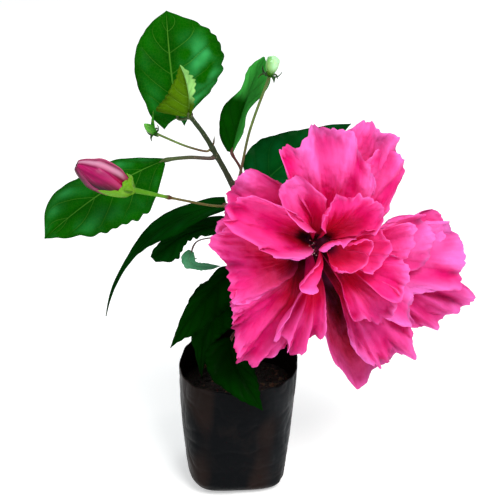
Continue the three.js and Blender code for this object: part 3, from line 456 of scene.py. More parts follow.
class Form:
    """Closed bodies joined into one piece, with the values that its material reads at each point."""

    def __init__(self):
        self.points = []
        self.faces = []
        self.places = []
        self.tints = []
        self.count = 0

    def add(self, points, faces, places, tints):
        """Adds a closed body. A face has four corners, or three and then -1."""
        a, b, c = (points[triangles(faces)[:, k]] for k in range(3))
        if np.einsum("ij,ij->", np.cross(a, b), c) < 0:
            short = faces[:, 3] < 0
            faces = faces[:, ::-1].copy()
            faces[short] = np.roll(faces[short], -1, axis=1)
        self.points.append(points)
        self.faces.append(np.where(faces < 0, -1, faces + self.count))
        self.places.append(np.broadcast_to(places, (len(points), 2)))
        self.tints.append(np.broadcast_to(tints, (len(points), 3)))
        self.count += len(points)

    def sheet(self, grid, front, back, places, front_tint, back_tint):
        """Adds a closed sheet about a grid, with the depths of its two sides from the grid."""
        down, over = np.gradient(grid, axis=(0, 1))
        normal = unit(np.cross(down, over) + 1e-12)
        front, back = (np.broadcast_to(depth, grid.shape[:2])[..., None] for depth in (front, back))
        points = np.vstack([(grid + normal * front).reshape(-1, 3), (grid - normal * back).reshape(-1, 3)])
        tall, wide = grid.shape[:2]
        rows, columns = tall - 1, wide - 1
        edge = np.concatenate([
            np.arange(rows) * wide,
            rows * wide + np.arange(columns),
            np.arange(rows, 0, -1) * wide + columns,
            np.arange(columns, 0, -1),
        ])
        after = np.roll(edge, -1)
        shift = tall * wide
        rim = np.stack([edge, edge + shift, after + shift, after], 1)
        faces = grid_faces(rows, columns)
        faces = np.vstack([faces, faces[:, ::-1] + shift, rim])
        places = np.broadcast_to(places, (tall, wide, 2)).reshape(-1, 2)
        tints = [np.broadcast_to(t, grid.shape).reshape(-1, 3) for t in (front_tint, back_tint)]
        self.add(points, faces, np.vstack([places, places]), np.vstack(tints))

    def rings(self, rings, tint):
        """Adds a body through rings of equal count, closed at both ends."""
        steps, sides = rings.shape[:2]
        points = np.vstack([rings.reshape(-1, 3), rings[0].mean(0), rings[-1].mean(0)])
        around = np.arange(sides)
        following = (around + 1) % sides
        first, last, none = (np.full(sides, value) for value in (steps * sides, steps * sides + 1, -1))
        shift = (steps - 1) * sides
        start_cap = np.stack([first, around, following, none], 1)
        end_cap = np.stack([last, following + shift, around + shift, none], 1)
        faces = np.vstack([grid_faces(steps - 1, sides, wrap=True), start_cap, end_cap])
        across = np.abs(around / sides * 2 - 1)[None]
        places = stacked(across, np.linspace(0, 1, steps)[:, None]).reshape(-1, 2)
        tint = np.asarray(tint, float)
        if tint.ndim > 1:
            tint = np.broadcast_to(tint, rings.shape)
            tint = np.vstack([tint.reshape(-1, 3), tint[0, 0], tint[-1, 0]])
        self.add(points, faces, np.vstack([places, (0.5, 0), (0.5, 1)]), tint)

    def tube(self, path, radii, sides, tint):
        self.rings(tube_rings(path, radii, sides), tint)

    def strip(self, foot, middle, tip, normal, half, tint, thickness=0.35, fine=False, cup=0.25, widen=0.5):
        """Adds a small pointed scale such as a sepal, bract or stipule."""
        rows, columns = (20, 10) if fine else (14, 6)
        along = np.linspace(0, 1, rows + 1)[:, None]
        side = np.linspace(-1, 1, columns + 1)[None]
        line = through(foot, middle, tip)
        slope = bezier_slope(*line, along)
        normal = np.array(normal, float)
        up = unit(normal - slope * (slope @ normal)[..., None])
        peak = widen / (widen + 1)
        top = peak ** widen * (1 - peak)
        width = np.maximum(0.08, half * np.clip(along, 0.02, 1) ** widen * (1 - along) / top)
        grid = (bezier(*line, along) + np.cross(slope, up) * (width * side)[..., None]
                - up * (cup * width * side ** 2)[..., None])
        depth = thickness / 2 * (1 - 0.6 * side ** 2)
        self.sheet(grid, depth, depth, stacked(side * 0.5 + 0.5, along), tint, tint)

    def piece(self, name, material, slot, *nodes):
        """Makes the joined bodies into one piece that stands for CAD nodes."""
        points = np.vstack(self.points) * MM
        faces = np.vstack(self.faces)
        corners = faces.ravel()
        corners = corners[corners >= 0]
        sizes = (faces >= 0).sum(1)
        mesh = bpy.data.meshes.new(name)
        mesh.vertices.add(len(points))
        mesh.vertices.foreach_set("co", points.astype(np.float32).ravel())
        mesh.loops.add(len(corners))
        mesh.loops.foreach_set("vertex_index", corners.astype(np.int32))
        mesh.polygons.add(len(faces))
        mesh.polygons.foreach_set("loop_start", (np.cumsum(sizes) - sizes).astype(np.int32))
        mesh.polygons.foreach_set("loop_total", sizes.astype(np.int32))
        mesh.polygons.foreach_set("use_smooth", np.ones(len(faces), bool))
        mesh.update(calc_edges=True)
        places = np.vstack(self.places)[corners]
        mesh.uv_layers.new(name="UVMap").data.foreach_set("uv", places.astype(np.float32).ravel())
        tints = np.hstack([np.vstack(self.tints), np.ones((len(points), 1))])
        layer = mesh.color_attributes.new("tint", "FLOAT_COLOR", "POINT")
        layer.data.foreach_set("color", tints.astype(np.float32).ravel())
        mesh.materials.append(material)
        thing = bpy.data.objects.new(name, mesh)
        bpy.context.scene.collection.objects.link(thing)
        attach(thing, "root")
        if nodes:
            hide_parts(*nodes)


# Materials

def node(material, kind, settings=None, **inputs):
    """Adds a node. Each input is a value or another node's output, and its name has _ for a space."""
    made = material.node_tree.nodes.new(kind)
    for name, value in (settings or {}).items():
        setattr(made, name, value)
    for name, value in inputs.items():
        key = int(name[1:]) if name[0] == "i" and name[1:].isdigit() else name.replace("_", " ")
        if isinstance(value, bpy.types.NodeSocket):
            material.node_tree.links.new(value, made.inputs[key])
        else:
            made.inputs[key].default_value = value
    return made


def maths(material, operation, a, b=0.0, c=0.0):
    return node(material, "ShaderNodeMath", {"operation": operation}, i0=a, i1=b, i2=c).outputs[0]


def ramp(material, value, low, high, start=0.0, end=1.0):
    """A smooth change of a value between two others."""
    return node(material, "ShaderNodeMapRange", {"interpolation_type": "SMOOTHSTEP"}, Value=value,
                From_Min=low, From_Max=high, To_Min=start, To_Max=end).outputs["Result"]


def mix_colours(material, share, a, b, blend="MIX"):
    a, b = (c if isinstance(c, bpy.types.NodeSocket) else (*c, 1) for c in (a, b))
    settings = {"data_type": "RGBA", "blend_type": blend}
    return node(material, "ShaderNodeMix", settings, i0=share, i6=a, i7=b).outputs[2]


def noise_texture(material, where, scale, detail=4.0, rough=0.55):
    return node(material, "ShaderNodeTexNoise", Vector=where, Scale=scale, Detail=detail,
                Roughness=rough).outputs["Fac"]


def streaks(material, where, scale, detail=4.0, rough=0.55):
    """Noise with a scale of its own along each axis."""
    drawn = node(material, "ShaderNodeMapping", Vector=where, Scale=scale).outputs[0]
    return noise_texture(material, drawn, 1.0, detail, rough)


def bump(material, height, depth, strength=1.0):
    """A bump whose height 1 stands a depth in millimetres proud."""
    return node(material, "ShaderNodeBump", Strength=strength, Distance=depth * MM, Height=height).outputs[0]


def new_material(name):
    """A material with the tint at each point, the place on the piece and the place in space."""
    made = bpy.data.materials.new(name)
    made.use_nodes = True
    made.node_tree.nodes.clear()
    tint = node(made, "ShaderNodeAttribute", {"attribute_name": "tint"}).outputs["Color"]
    coordinates = node(made, "ShaderNodeTexCoord")
    return made, tint, coordinates.outputs["UV"], coordinates.outputs["Object"]


def close_material(material, glow=0.0, **inputs):
    """Gives a material its surface, of which the share glow lets light through."""
    surface = node(material, "ShaderNodeBsdfPrincipled", **inputs).outputs[0]
    if glow:
        thin = node(material, "ShaderNodeBsdfTranslucent", Color=inputs["Base_Color"],
                    Normal=inputs["Normal"])
        surface = node(material, "ShaderNodeMixShader", Fac=glow, i1=surface, i2=thin.outputs[0]).outputs[0]
    node(material, "ShaderNodeOutputMaterial", Surface=surface)
    return material


def petal_material():
    """Thin soft tissue with fine threads that run out from the throat."""
    made, tint, place, space = new_material("petal")
    broad = streaks(made, place, (26, 1.6, 1), 3.0)
    threads = streaks(made, place, (120, 3, 1), 2.0, 0.5)
    clouds = noise_texture(made, space, 70.0, 2.0)
    crinkles = noise_texture(made, space, 420.0, 3.0, 0.5)
    colour = mix_colours(made, ramp(made, broad, 0.4, 0.75, 0.0, 0.16), tint, (0.86, 0.25, 0.5), "MULTIPLY")
    colour = mix_colours(made, ramp(made, clouds, 0.4, 0.75, 0.0, 0.16), colour, srgb(255, 110, 205))
    height = maths(made, "MULTIPLY_ADD", threads, 0.35, maths(made, "MULTIPLY", broad, 0.65))
    normal = bump(made, maths(made, "MULTIPLY_ADD", crinkles, 1.2, height), 0.8, 0.6)
    return close_material(made, 0.24, Base_Color=colour, Roughness=0.55, Normal=normal,
                          Specular_IOR_Level=0.08, Sheen_Weight=0.03, Sheen_Roughness=0.4)


def leaf_lines(made, place, space):
    """The midrib and the veins that rise from it to the margins."""
    axes = node(made, "ShaderNodeSeparateXYZ", Vector=place)
    side = maths(made, "ABSOLUTE", maths(made, "MULTIPLY_ADD", axes.outputs[0], 2.0, -1.0))
    bent = maths(made, "MULTIPLY", maths(made, "POWER", side, VEIN_CURVE), VEIN_RISE)
    wander = maths(made, "MULTIPLY_ADD", noise_texture(made, space, 45.0, 2.0), 0.07, -0.035)
    level = maths(made, "ADD", maths(made, "SUBTRACT", axes.outputs[1], bent), wander)
    turn = maths(made, "FRACT", maths(made, "MULTIPLY", level, float(VEINS_A_SIDE)))
    near = maths(made, "ABSOLUTE", maths(made, "SUBTRACT", turn, 0.5))
    vein = maths(made, "MULTIPLY", ramp(made, near, 0.47, 0.497), ramp(made, side, 0.45, 0.95, 1.0, 0.0))
    rib_width = maths(made, "MULTIPLY_ADD", axes.outputs[1], -0.02, 0.034)
    rib = maths(made, "SUBTRACT", 1.0, ramp(made, maths(made, "DIVIDE", side, rib_width), 0.4, 1.1))
    return maths(made, "MAXIMUM", maths(made, "MULTIPLY", vein, 0.55), maths(made, "MULTIPLY", rib, 0.85))


def leaf_material(name):
    """A glossy blade with a pale midrib and veins."""
    *_, vein_colour, roughness, shine = LOOKS[name]
    made, tint, place, space = new_material(name)
    lines = leaf_lines(made, place, space)
    net = node(made, "ShaderNodeTexVoronoi", {"feature": "DISTANCE_TO_EDGE"}, Vector=space, Scale=560.0)
    cells = ramp(made, net.outputs["Distance"], 0.0, 0.12)
    patches = noise_texture(made, space, 60.0, 3.0)
    colour = mix_colours(made, ramp(made, patches, 0.35, 0.7, 0.0, 0.4), tint, (0.4, 0.6, 0.4), "MULTIPLY")
    colour = mix_colours(made, maths(made, "MULTIPLY", lines, 0.5), colour, vein_colour)
    colour = mix_colours(made, maths(made, "MULTIPLY_ADD", cells, -0.05, 0.05), colour, vein_colour)
    height = maths(made, "MULTIPLY_ADD", cells, 0.1, maths(made, "MULTIPLY", lines, -0.4))
    height = maths(made, "ADD", height, maths(made, "MULTIPLY", patches, 0.5))
    gloss = ramp(made, patches, 0.3, 0.7, roughness - 0.06, roughness + 0.08)
    return close_material(made, 0.12, Base_Color=colour, Roughness=gloss,
                          Normal=bump(made, height, 0.2, 0.7), Specular_IOR_Level=shine)


def stalk_material(name, roughness):
    """Green or woody skin with fine stripes along it and small pale pores."""
    made, tint, place, space = new_material(name)
    stripes = streaks(made, place, (14, 5, 1))
    grain = noise_texture(made, space, 900.0, 3.0)
    pores = node(made, "ShaderNodeTexVoronoi", Vector=space, Scale=420.0).outputs["Distance"]
    pore = ramp(made, pores, 0.1, 0.24, 1.0, 0.0)
    colour = mix_colours(made, ramp(made, stripes, 0.3, 0.7, 0.0, 0.55), tint, (0.42, 0.38, 0.3), "MULTIPLY")
    colour = mix_colours(made, maths(made, "MULTIPLY", pore, 0.25), colour, (0.5, 0.42, 0.28), "SCREEN")
    height = maths(made, "MULTIPLY_ADD", pore, 0.5, maths(made, "ADD", stripes, grain))
    return close_material(made, Base_Color=colour, Roughness=roughness, Normal=bump(made, height, 0.3, 0.7))


def bud_material():
    made, tint, place, _ = new_material("bud")
    broad = streaks(made, place, (16, 1.6, 1), 4.0, 0.6)
    threads = streaks(made, place, (60, 2.5, 1), 2.0)
    colour = mix_colours(made, ramp(made, broad, 0.52, 0.75, 0.0, 0.16), tint, srgb(236, 130, 180))
    normal = bump(made, maths(made, "ADD", broad, threads), 0.35, 0.6)
    return close_material(made, Base_Color=colour, Roughness=0.32, Normal=normal, Specular_IOR_Level=0.16)


def green_material():
    """The smooth green skin of calyces, bracts and young buds."""
    made, tint, place, space = new_material("calyx")
    stripes = streaks(made, place, (22, 1.5, 1), 3.0)
    patches = noise_texture(made, space, 260.0, 3.0)
    dark = ramp(made, stripes, 0.42, 0.7, 0.0, 0.5)
    colour = mix_colours(made, dark, tint, (0.55, 0.75, 0.45), "MULTIPLY")
    colour = mix_colours(made, ramp(made, patches, 0.5, 0.75, 0.0, 0.15), colour, srgb(190, 215, 110))
    normal = bump(made, maths(made, "ADD", stripes, patches), 0.2, 0.5)
    return close_material(made, Base_Color=colour, Roughness=0.36, Normal=normal, Specular_IOR_Level=0.15,
                          Subsurface_Weight=0.1, Subsurface_Scale=0.002)


def film_material():
    """Black polythene: a soft grey sheen, fine crinkles and faint brown dust."""
    made, tint, _, space = new_material("bag_film")
    crinkles = noise_texture(made, space, 60.0, 5.0, 0.6)
    fine = noise_texture(made, space, 260.0, 4.0, 0.6)
    pleats = streaks(made, space, (120, 120, 14), 3.0)
    dust = ramp(made, noise_texture(made, space, 38.0, 4.0, 0.65), 0.52, 0.74, 0.0, 0.3)
    colour = mix_colours(made, dust, tint, srgb(38, 29, 25))
    height = maths(made, "MULTIPLY_ADD", fine, 0.25, maths(made, "MULTIPLY_ADD", crinkles, 0.8, pleats))
    return close_material(made, Base_Color=colour, Roughness=ramp(made, crinkles, 0.35, 0.7, 0.3, 0.5),
                          Normal=bump(made, height, 0.9, 0.5), Specular_IOR_Level=0.05)


def soil_material():
    made, tint, _, space = new_material("soil")
    grains = noise_texture(made, space, 700.0, 5.0, 0.7)
    lumps = noise_texture(made, space, 160.0, 4.0, 0.6)
    flecks = node(made, "ShaderNodeTexVoronoi", Vector=space, Scale=330.0).outputs["Color"]
    fleck = node(made, "ShaderNodeSeparateColor", Color=flecks).outputs[0]
    colour = mix_colours(made, ramp(made, lumps, 0.35, 0.7), tint, (0.5, 0.42, 0.4), "MULTIPLY")
    colour = mix_colours(made, ramp(made, fleck, 0.9, 0.97, 0.0, 0.5), colour, srgb(112, 78, 54))
    normal = bump(made, maths(made, "ADD", grains, lumps), 0.9, 0.8)
    return close_material(made, Base_Color=colour, Roughness=0.95, Normal=normal)


def floor_material():
    made, _, _, space = new_material("floor")
    colour = mix_colours(made, noise_texture(made, space, 3.0, 2.0), (0.86, 0.86, 0.86), (0.9, 0.9, 0.9))
    return close_material(made, Base_Color=colour, Roughness=0.9, Emission_Color=(1, 1, 1, 1),
                          Emission_Strength=0.42)


# The bag and the soil

def bag_reach(angle, height):
    """How far the bag stands out from its middle at an angle and a height."""
    rise = 1 - np.clip(height / LEFT_HEIGHT, 0, 1)
    corner = FOOT_CORNER - CORNER_UNEVEN * np.cos(angle)
    below = np.clip(1 - height / corner, 0, 1)
    cut = corner * (1 - np.sqrt(1 - below * below))
    width, depth = (RIM_RADIUS - (RIM_RADIUS - foot) * rise ** 1.4 - cut
                    for foot in (FOOT_WIDTH, FOOT_DEPTH))
    power = RIM_BOX + (FOOT_BOX - RIM_BOX) * rise
    turned = angle - math.radians(FOOT_TURN) * rise
    over, back = np.abs(np.cos(turned) / width), np.abs(np.sin(turned) / depth)
    return (over ** power + back ** power) ** (-1 / power)


def bag_ring(angle, radius, height):
    middle = FOOT_MIDDLE + (RIM_MIDDLE - FOOT_MIDDLE) * (height / LEFT_HEIGHT)
    return stacked(middle + np.cos(angle) * radius, np.sin(angle) * radius, height)


def rim_height(angle):
    side = LEFT_HEIGHT + (RIGHT_HEIGHT - LEFT_HEIGHT) * (0.5 + 0.5 * np.cos(angle))
    back = np.clip(np.sin(angle), 0, None) ** 1.5
    sag = 1.6 * bell((angle - 1.46 * math.pi) / 0.3) + 1.2 * bell((angle - 1.72 * math.pi) / 0.12)
    wave = 0.6 * np.sin(3 * angle + 0.6) + 0.5 * np.sin(7 * angle + 2) + 0.25 * np.sin(17 * angle)
    return side + (BACK_HEIGHT - side) * back + wave - sag - 0.3


def fold_line(angle, height, place, lean, width):
    """How near a point lies to a fold that runs up the film at an angle and leans as it rises."""
    off = np.angle(np.exp(1j * (angle - np.radians(place + lean * height))))
    return bell(off / math.radians(width))


def dents(angle, height):
    """How far the film is pressed in from the bag's full outline."""
    spots = stacked(np.cos(angle) * FOOT_DEPTH, np.sin(angle) * FOOT_DEPTH, height)
    broad = 0.5 + 0.5 * noise_at(spots * (1, 1, 0.7), 19, 3.1)
    sharp = 1 - np.abs(noise_at(spots * (1, 1, 0.8), 12, 7.7)) * 2.4
    small = 1 - np.abs(noise_at(spots, 5.5, 2.9)) * 2.6
    total = 1.3 * broad + 0.5 * np.clip(sharp, 0, 1) ** 3 + 0.22 * np.clip(small, 0, 1) ** 3
    for place, lean, width, depth in BAG_FOLDS:
        fade = 0.35 + 0.65 * smoothstep(-0.6, 0.6, np.sin(height / 13 + place))
        total = total + depth * fade * fold_line(angle, height, place, lean, width)
    return (total * 0.7 - 1.0) * smoothstep(0, 7, height)


def bag_tint(rings, height, inner):
    """Black film with brown patches outside, more on the left, and a painted grey sheen in patches towards
    the right, with a brown inside; the whole is up to a fifth darker above the soil's level.
    """
    above_soil = smoothstep(-6, 10, height - SOIL_LEVEL)[..., None]
    left = smoothstep(-5, -25, rings[..., 0])
    brown = smoothstep(0.1, 0.5, noise_at(rings * (1, 1, 0.5), 24, 6.1) + 0.35 * left)
    # The grey towards the right side is a painted sheen, broken up by noise.
    grey = smoothstep(12, 30, rings[..., 0]) * (0.6 + 0.8 * noise_at(rings * (1, 1, 0.6), 12, 1.9))
    tint = mixed(srgb(4, 6, 9), srgb(36, 24, 20), 0.7 * brown * (1 - inner))
    tint = mixed(tint, srgb(28, 31, 34), np.clip(grey, 0, 1) * (1 - inner))
    return mixed(tint, srgb(20, 13, 11), inner) * (1 - 0.2 * above_soil)


def make_bag(material):
    angle = circle(BAG_STEPS)
    rim = rim_height(angle)
    share = np.linspace(0, 1, BAG_ROWS)[:, None] ** 1.15
    height = np.vstack([share * rim, FILM + share[::-1] * (rim - FILM)])
    inner = np.repeat((0, 1), BAG_ROWS)[:, None]
    rings = bag_ring(angle, bag_reach(angle, height) - dents(angle, height) - FILM * inner, height)
    form = Form()
    form.rings(rings, bag_tint(rings, height, inner))
    form.piece("bag_film", material, "bag_film", "bag")


def soil_rings():
    """A plain body with a lumpy, slightly mounded top."""
    angle = circle(SOIL_SIDES)
    edge = bag_reach(angle, SOIL_LEVEL) - dents(angle, SOIL_LEVEL) - 0.8
    rings = [bag_ring(angle, bag_reach(angle, level) - 3.2, level)
             for level in np.linspace(SOIL_FOOT, SOIL_LEVEL - 6, 12)]
    for share in (1.0, *np.linspace(0.985, 0.02, 70)):
        ring = bag_ring(angle, edge * share, SOIL_LEVEL)
        rough = noise_sum(ring * (1, 1, 0), (1.3, 7, 1.7), (0.9, 2.6, 5.2), (0.5, 1.1, 9.4))
        ring[:, 2] += SOIL_MOUND * smoothstep(1, 0.2, share) - 1.2 * smoothstep(0.9, 1, share) + rough
        rings.append(ring)
    return np.array(rings)


def make_soil(material):
    """Crumbly soil: a body with loose crumbs sunk into its top."""
    form = Form()
    dark = srgb(30, 17, 11)
    form.rings(soil_rings(), dark)
    levels = np.linspace(-1, 1, 7)[:, None]
    around = circle(9)
    wide = np.sqrt(np.clip(1 - levels ** 2, 0.02, 1))
    ball = stacked(np.cos(around) * wide, np.sin(around) * wide, levels)
    draw = np.random.default_rng(11)
    for _ in range(SOIL_CRUMBS):
        turn, out = draw.uniform(0, 2 * math.pi), math.sqrt(draw.uniform(0, 1)) * CRUMB_REACH
        size = draw.uniform(0.7, 2.1)
        centre = np.array((math.cos(turn) * out, math.sin(turn) * out, SOIL_LEVEL + 0.6))
        lumpy = ball * (size * (1 + 0.45 * noise_at(ball * 2, 1.0, out)))[..., None] * (1, 1, 0.75)
        form.rings(lumpy + centre, dark * draw.uniform(0.6, 1.9))
    form.piece("crumbly_soil", material, "soil", "soil")


# The stem and the stalks

STEM_LINE = smooth_curve(STEM_POINTS)
STEM_PATH = even_steps(STEM_LINE, 400)


def stem_radius(along):
    taper = STEM_FOOT_RADIUS + (STEM_TIP_RADIUS - STEM_FOOT_RADIUS) * along
    return taper + STEM_FLARE * np.exp(-along / STEM_FLARE_LENGTH)


def stem_at(height):
    """The place on the stem's axis at a height, with the stem's radius and direction there."""
    heights = STEM_PATH[:, 2]
    last = len(heights) - 1
    along = np.interp(height, heights, np.linspace(0, 1, last + 1))
    step = min(int(along * last), last - 1)
    centre = np.array([np.interp(height, heights, STEM_PATH[:, k]) for k in range(3)])
    return centre, stem_radius(along), unit(STEM_PATH[step + 1] - STEM_PATH[step])


def stalk_line(height, places, steps):
    """A stalk's path from inside the stem, out square to the bark and on through its places."""
    centre, radius, slope = stem_at(height)
    away = np.array(places[0], float) - centre
    if height < STEM_TOP:
        away = away - slope * (away @ slope)
    away = unit(away)
    start = centre + away * (radius + 0.35)
    line = smooth_curve([start, start + away * 1.5, *places])
    return np.vstack([centre + away * radius * 0.3, even_steps(line, steps)])


def swollen_nodes(path, radius):
    """Adds a swelling and a scar to the stem's radii at each height where something leaves it."""
    for number, height in enumerate(sorted({leaf.height for leaf in LEAVES} | BARE_NODES)):
        near = bell((path[:, 2] - height) / 1.6)
        ring = bell((path[:, 2] - height - 1.6) / 0.45)
        facing = 0.65 + 0.35 * np.cos(circle(STEM_SIDES) - 2.4 * number)
        radius = radius + (0.2 * near - 0.06 * ring)[:, None] * facing * np.minimum(radius, 2.6)
    return radius


def make_stem(material):
    path = even_steps(STEM_LINE, STEM_STEPS)
    path = np.vstack([path[0] - (0, 0, STEM_SUNK), path])
    along = np.clip(np.linspace(-1 / STEM_STEPS, 1, STEM_STEPS + 2), 0, 1)
    radius = swollen_nodes(path, stem_radius(along)[:, None])
    surface = tube_rings(path, radius, STEM_SIDES)
    rough = 0.3 * noise_at(surface * (1, 1, 0.25), 2.2, 4.4) + 0.16 * noise_at(surface, 0.9, 8.1)
    surface = tube_rings(path, radius * (1 + 0.3 * rough), STEM_SIDES)
    old = mixed(srgb(56, 45, 30), srgb(26, 23, 14), 0.5 + 0.5 * noise_at(surface, 6, 2.0))
    form = Form()
    form.rings(surface, mixed(old, srgb(34, 60, 16), smoothstep(0.55, 1.0, along)[:, None]))
    for height, reach, lean in STIPULES:
        centre, radius, _ = stem_at(height)
        lean = unit(np.array(lean))
        foot = centre + lean * radius * 0.6
        form.strip(foot, foot + lean * reach * 0.5 + (0.3, 0, 0), foot + lean * reach, (0.2, -1, 0.1),
                   0.55, srgb(92, 84, 52), thickness=0.4)
    form.piece("stem_bark", material, "bark", "main_stem")


# Leaves

def half_widths(leaf):
    for widths in (leaf.left, leaf.right):
        yield widths if isinstance(widths, tuple) else tuple(widths * share for share in OVATE)


def tooth_phase(leaf, along, side):
    return along * TEETH_A_SIDE + np.where(side < 0, 0.0, 0.45) + 0.3 * np.sin(along * 11 + leaf.height / 7)


def blade_reach(leaf, along, side, width):
    """How far the blade's margin with its teeth stands from the midrib."""
    out = np.abs(side)
    uneven = 0.75 + 0.35 * np.sin(along * 17 + leaf.height / 7 * 3)
    phase = tooth_phase(leaf, along, side)
    tooth = (np.sin(math.pi * (phase % 1) ** 1.5) - 0.6) * np.where(side < 0, *leaf.teeth) * uneven
    tooth = tooth * smoothstep(0.1, 0.25, along) * smoothstep(1.0, 0.93, along)
    reach = out * width + tooth * smoothstep(0.5, 1, out) * np.minimum(1, width / 5)
    return np.maximum(reach, 0.1 * out)


def vein_swell(along, side, width):
    """The swell of the blade between its veins."""
    out = np.abs(side)
    level = along - VEIN_RISE * out ** VEIN_CURVE
    swell = np.abs(np.sin(math.pi * VEINS_A_SIDE * level)) ** 0.6
    return swell * smoothstep(0.02, 0.2, out) * smoothstep(1, 0.7, out) * np.minimum(1, width / 8)


def blade_grid(leaf):
    """The blade about its midrib, with its folds, waves, teeth and the swell between its veins."""
    along = np.linspace(0, 1, LEAF_ROWS + 1)[:, None]
    side = np.linspace(-1, 1, LEAF_COLUMNS + 1)[None]
    side = np.sign(side) * np.abs(side) ** 0.85
    out = np.abs(side)
    line = through(leaf.foot, leaf.middle, leaf.tip)
    slope = bezier_slope(*line, along)
    normal = mixed(*(heading(*face) for face in leaf.faces), along)
    normal = unit(normal - slope * (normal * slope).sum(-1, keepdims=True))
    across = np.cross(slope, normal)
    widths = list(half_widths(leaf))
    width = np.maximum(0.12, np.where(side < 0, *(between(values, along) for values in widths)))
    widest = np.where(side < 0, *map(max, widths))
    swell = vein_swell(along, side, width)
    groove = bell(out * width / 0.7) * smoothstep(1.0, 0.7, along)
    pucker = np.sin(2 * math.pi * tooth_phase(leaf, along, side)) * smoothstep(0.6, 1, out)
    centre = bezier(*line, along) - slope * (leaf.lobe * side ** 2 * (1 - along) ** 6)[..., None]
    flat = centre + across * (side * width)[..., None]
    buckle = 0.5 * noise_at(flat, 13, leaf.height / 7) * np.minimum(1, width / 8) * smoothstep(0, 0.4, out)
    fold = math.radians(leaf.fold)
    swing = np.sin(2 * math.pi * WAVES_A_LEAF * along + np.where(side > 0, 1.7, 0))
    lift = width * out * math.sin(fold) + LEAF_WAVE * side * side * swing * (width / widest)
    lift = lift + QUILT * swell + buckle + 0.25 * pucker * np.minimum(1, width / 12) - 0.3 * groove
    reach = np.sign(side) * blade_reach(leaf, along, side, width) * math.cos(fold)
    grid = centre + across * reach[..., None] + normal * lift[..., None]
    rib = 0.5 * groove + 0.1 * (1 - swell) * smoothstep(1, 0.6, out)
    return grid, along, side, rib, swell


def sheen_share(leaf, grid, along, side, swell):
    """How much of its sheen's colour the blade's upper side has at each point: a painted highlight on the
    swells between the veins, on the twisted leaf its right half and upper end, partly its paler underside
    and partly painted light, and on the young leaf the pale strip on its right side.
    """
    out = np.abs(side)
    if leaf.look == "young_leaf":
        return smoothstep(0.0, 0.15, side) * smoothstep(0.25, 0.5, along)
    if leaf.look == "twisted_leaf":
        return np.maximum(side > 0, smoothstep(0.5, 0.62, along)) * (0.45 + 0.35 * smoothstep(0.3, 0.9, out))
    broad = 0.3 + noise_sum(grid, (1.1, 13, leaf.height + 5), (0.3, 5, leaf.height + 9))
    broad = broad * (0.15 + 1.15 * swell) * np.where(side < 0, *leaf.sheen)
    share = np.clip(broad * smoothstep(0.05, 0.65, out), 0, 1)
    return share * smoothstep(leaf.gloss_end, leaf.gloss_end - 0.3, along)


def make_leaf(leaf, material):
    grid, along, side, rib, swell = blade_grid(leaf)
    upper, under, sheen = LOOKS[leaf.look][:3]
    # Painted light: the swells between the veins are painted lighter over broad random changes of tone, and
    # the sheen colour is mixed in as a painted highlight. The upper side's margin is a fifth darker.
    light = ((0.84 + 0.27 * swell) * (1 + 0.5 * noise_at(grid, 20, leaf.height)))[..., None]
    margin = smoothstep(0.9, 1, np.abs(side))[..., None]
    share = sheen_share(leaf, grid, along, side, swell)
    upper_tint = mixed(upper, sheen, share) * light * (1 - 0.2 * margin)
    depth = LEAF_THICKNESS / 2 * (1 - 0.55 * smoothstep(0.8, 1, np.abs(side)))
    form = Form()
    form.sheet(grid, depth + rib * 0.6, depth, stacked(side * 0.5 + 0.5, along), under * light, upper_tint)
    form.piece(leaf.name + "_blade", material, SLOTS.get(leaf.name, "dark_leaf"), leaf.name)


def add_petiole(form, leaf):
    """The leaf's stalk, swollen where it joins the stem and the blade."""
    foot = np.array(leaf.foot, float)
    inward = unit(np.array(leaf.middle, float) - foot)
    path = stalk_line(leaf.height, [*leaf.petiole, foot, foot + inward * 3], 40)
    along = np.linspace(0, 1, len(path))
    radius = leaf.stalk + 0.5 * bell(along / 0.06) + 0.3 * bell((along - 0.86) / 0.08)
    radius = radius * (1 - 0.4 * smoothstep(0.9, 1, along)) * (0.5 if leaf.look == "pale_leaf" else 1)
    stem_side = srgb(58, 84, 28) if leaf.height == STEM_TOP else srgb(84, 66, 56)
    blade_side = srgb(70, 92, 30) if leaf.look in ("leaf", "young_leaf") else srgb(98, 50, 46)
    form.tube(path, radius, 10, mixed(stem_side, blade_side, smoothstep(0.1, 0.8, along))[:, None])


# The bloom

AXIS = unit(BLOOM_AXIS)
RIGHT, UP = square_to(AXIS)


def bloom_place(right, up, forward):
    return THROAT + RIGHT * right + UP * up + AXIS * forward


def petal_margin(p, across, edge, longest):
    """The petal's reach in each direction, with its scallops, lobes and spikes."""
    start, end = np.radians(p.fan)
    angle = start + (end - start) * across
    inside = smoothstep(1, 0.8, np.abs(across * 2 - 1))
    scallops = 3.4 * np.abs(noise_at(edge, 5.5, 4.1)) + 1.6 * np.abs(noise_at(edge, 2.2, 2.2))
    lobes = 1.6 * noise_at(edge, 9, 1.3) + scallops - 1.0
    reach = between(p.reach, across) + p.frill * lobes * (0.4 + 0.6 * inside)
    for place, height in p.spikes:
        reach = reach + height * bell((angle - math.radians(place)) * longest / 1.4)
    return angle, reach


def petal_creases(arc, across, share, seed):
    """Creases that run out along the petal at drawn places."""
    draw = np.random.default_rng(seed * 10 + 3)
    total = 0
    for _ in range(max(3, int(arc / 10))):
        place, width, drift = draw.uniform(0.05, 0.95), draw.uniform(0.9, 2.4), draw.normal(0, 0.08)
        off = (across - place - drift * (share - 0.5)) * arc / width
        total = total + draw.normal(0, 0.45) * smoothstep(0.1, 0.55, share) * bell(off)
    return total


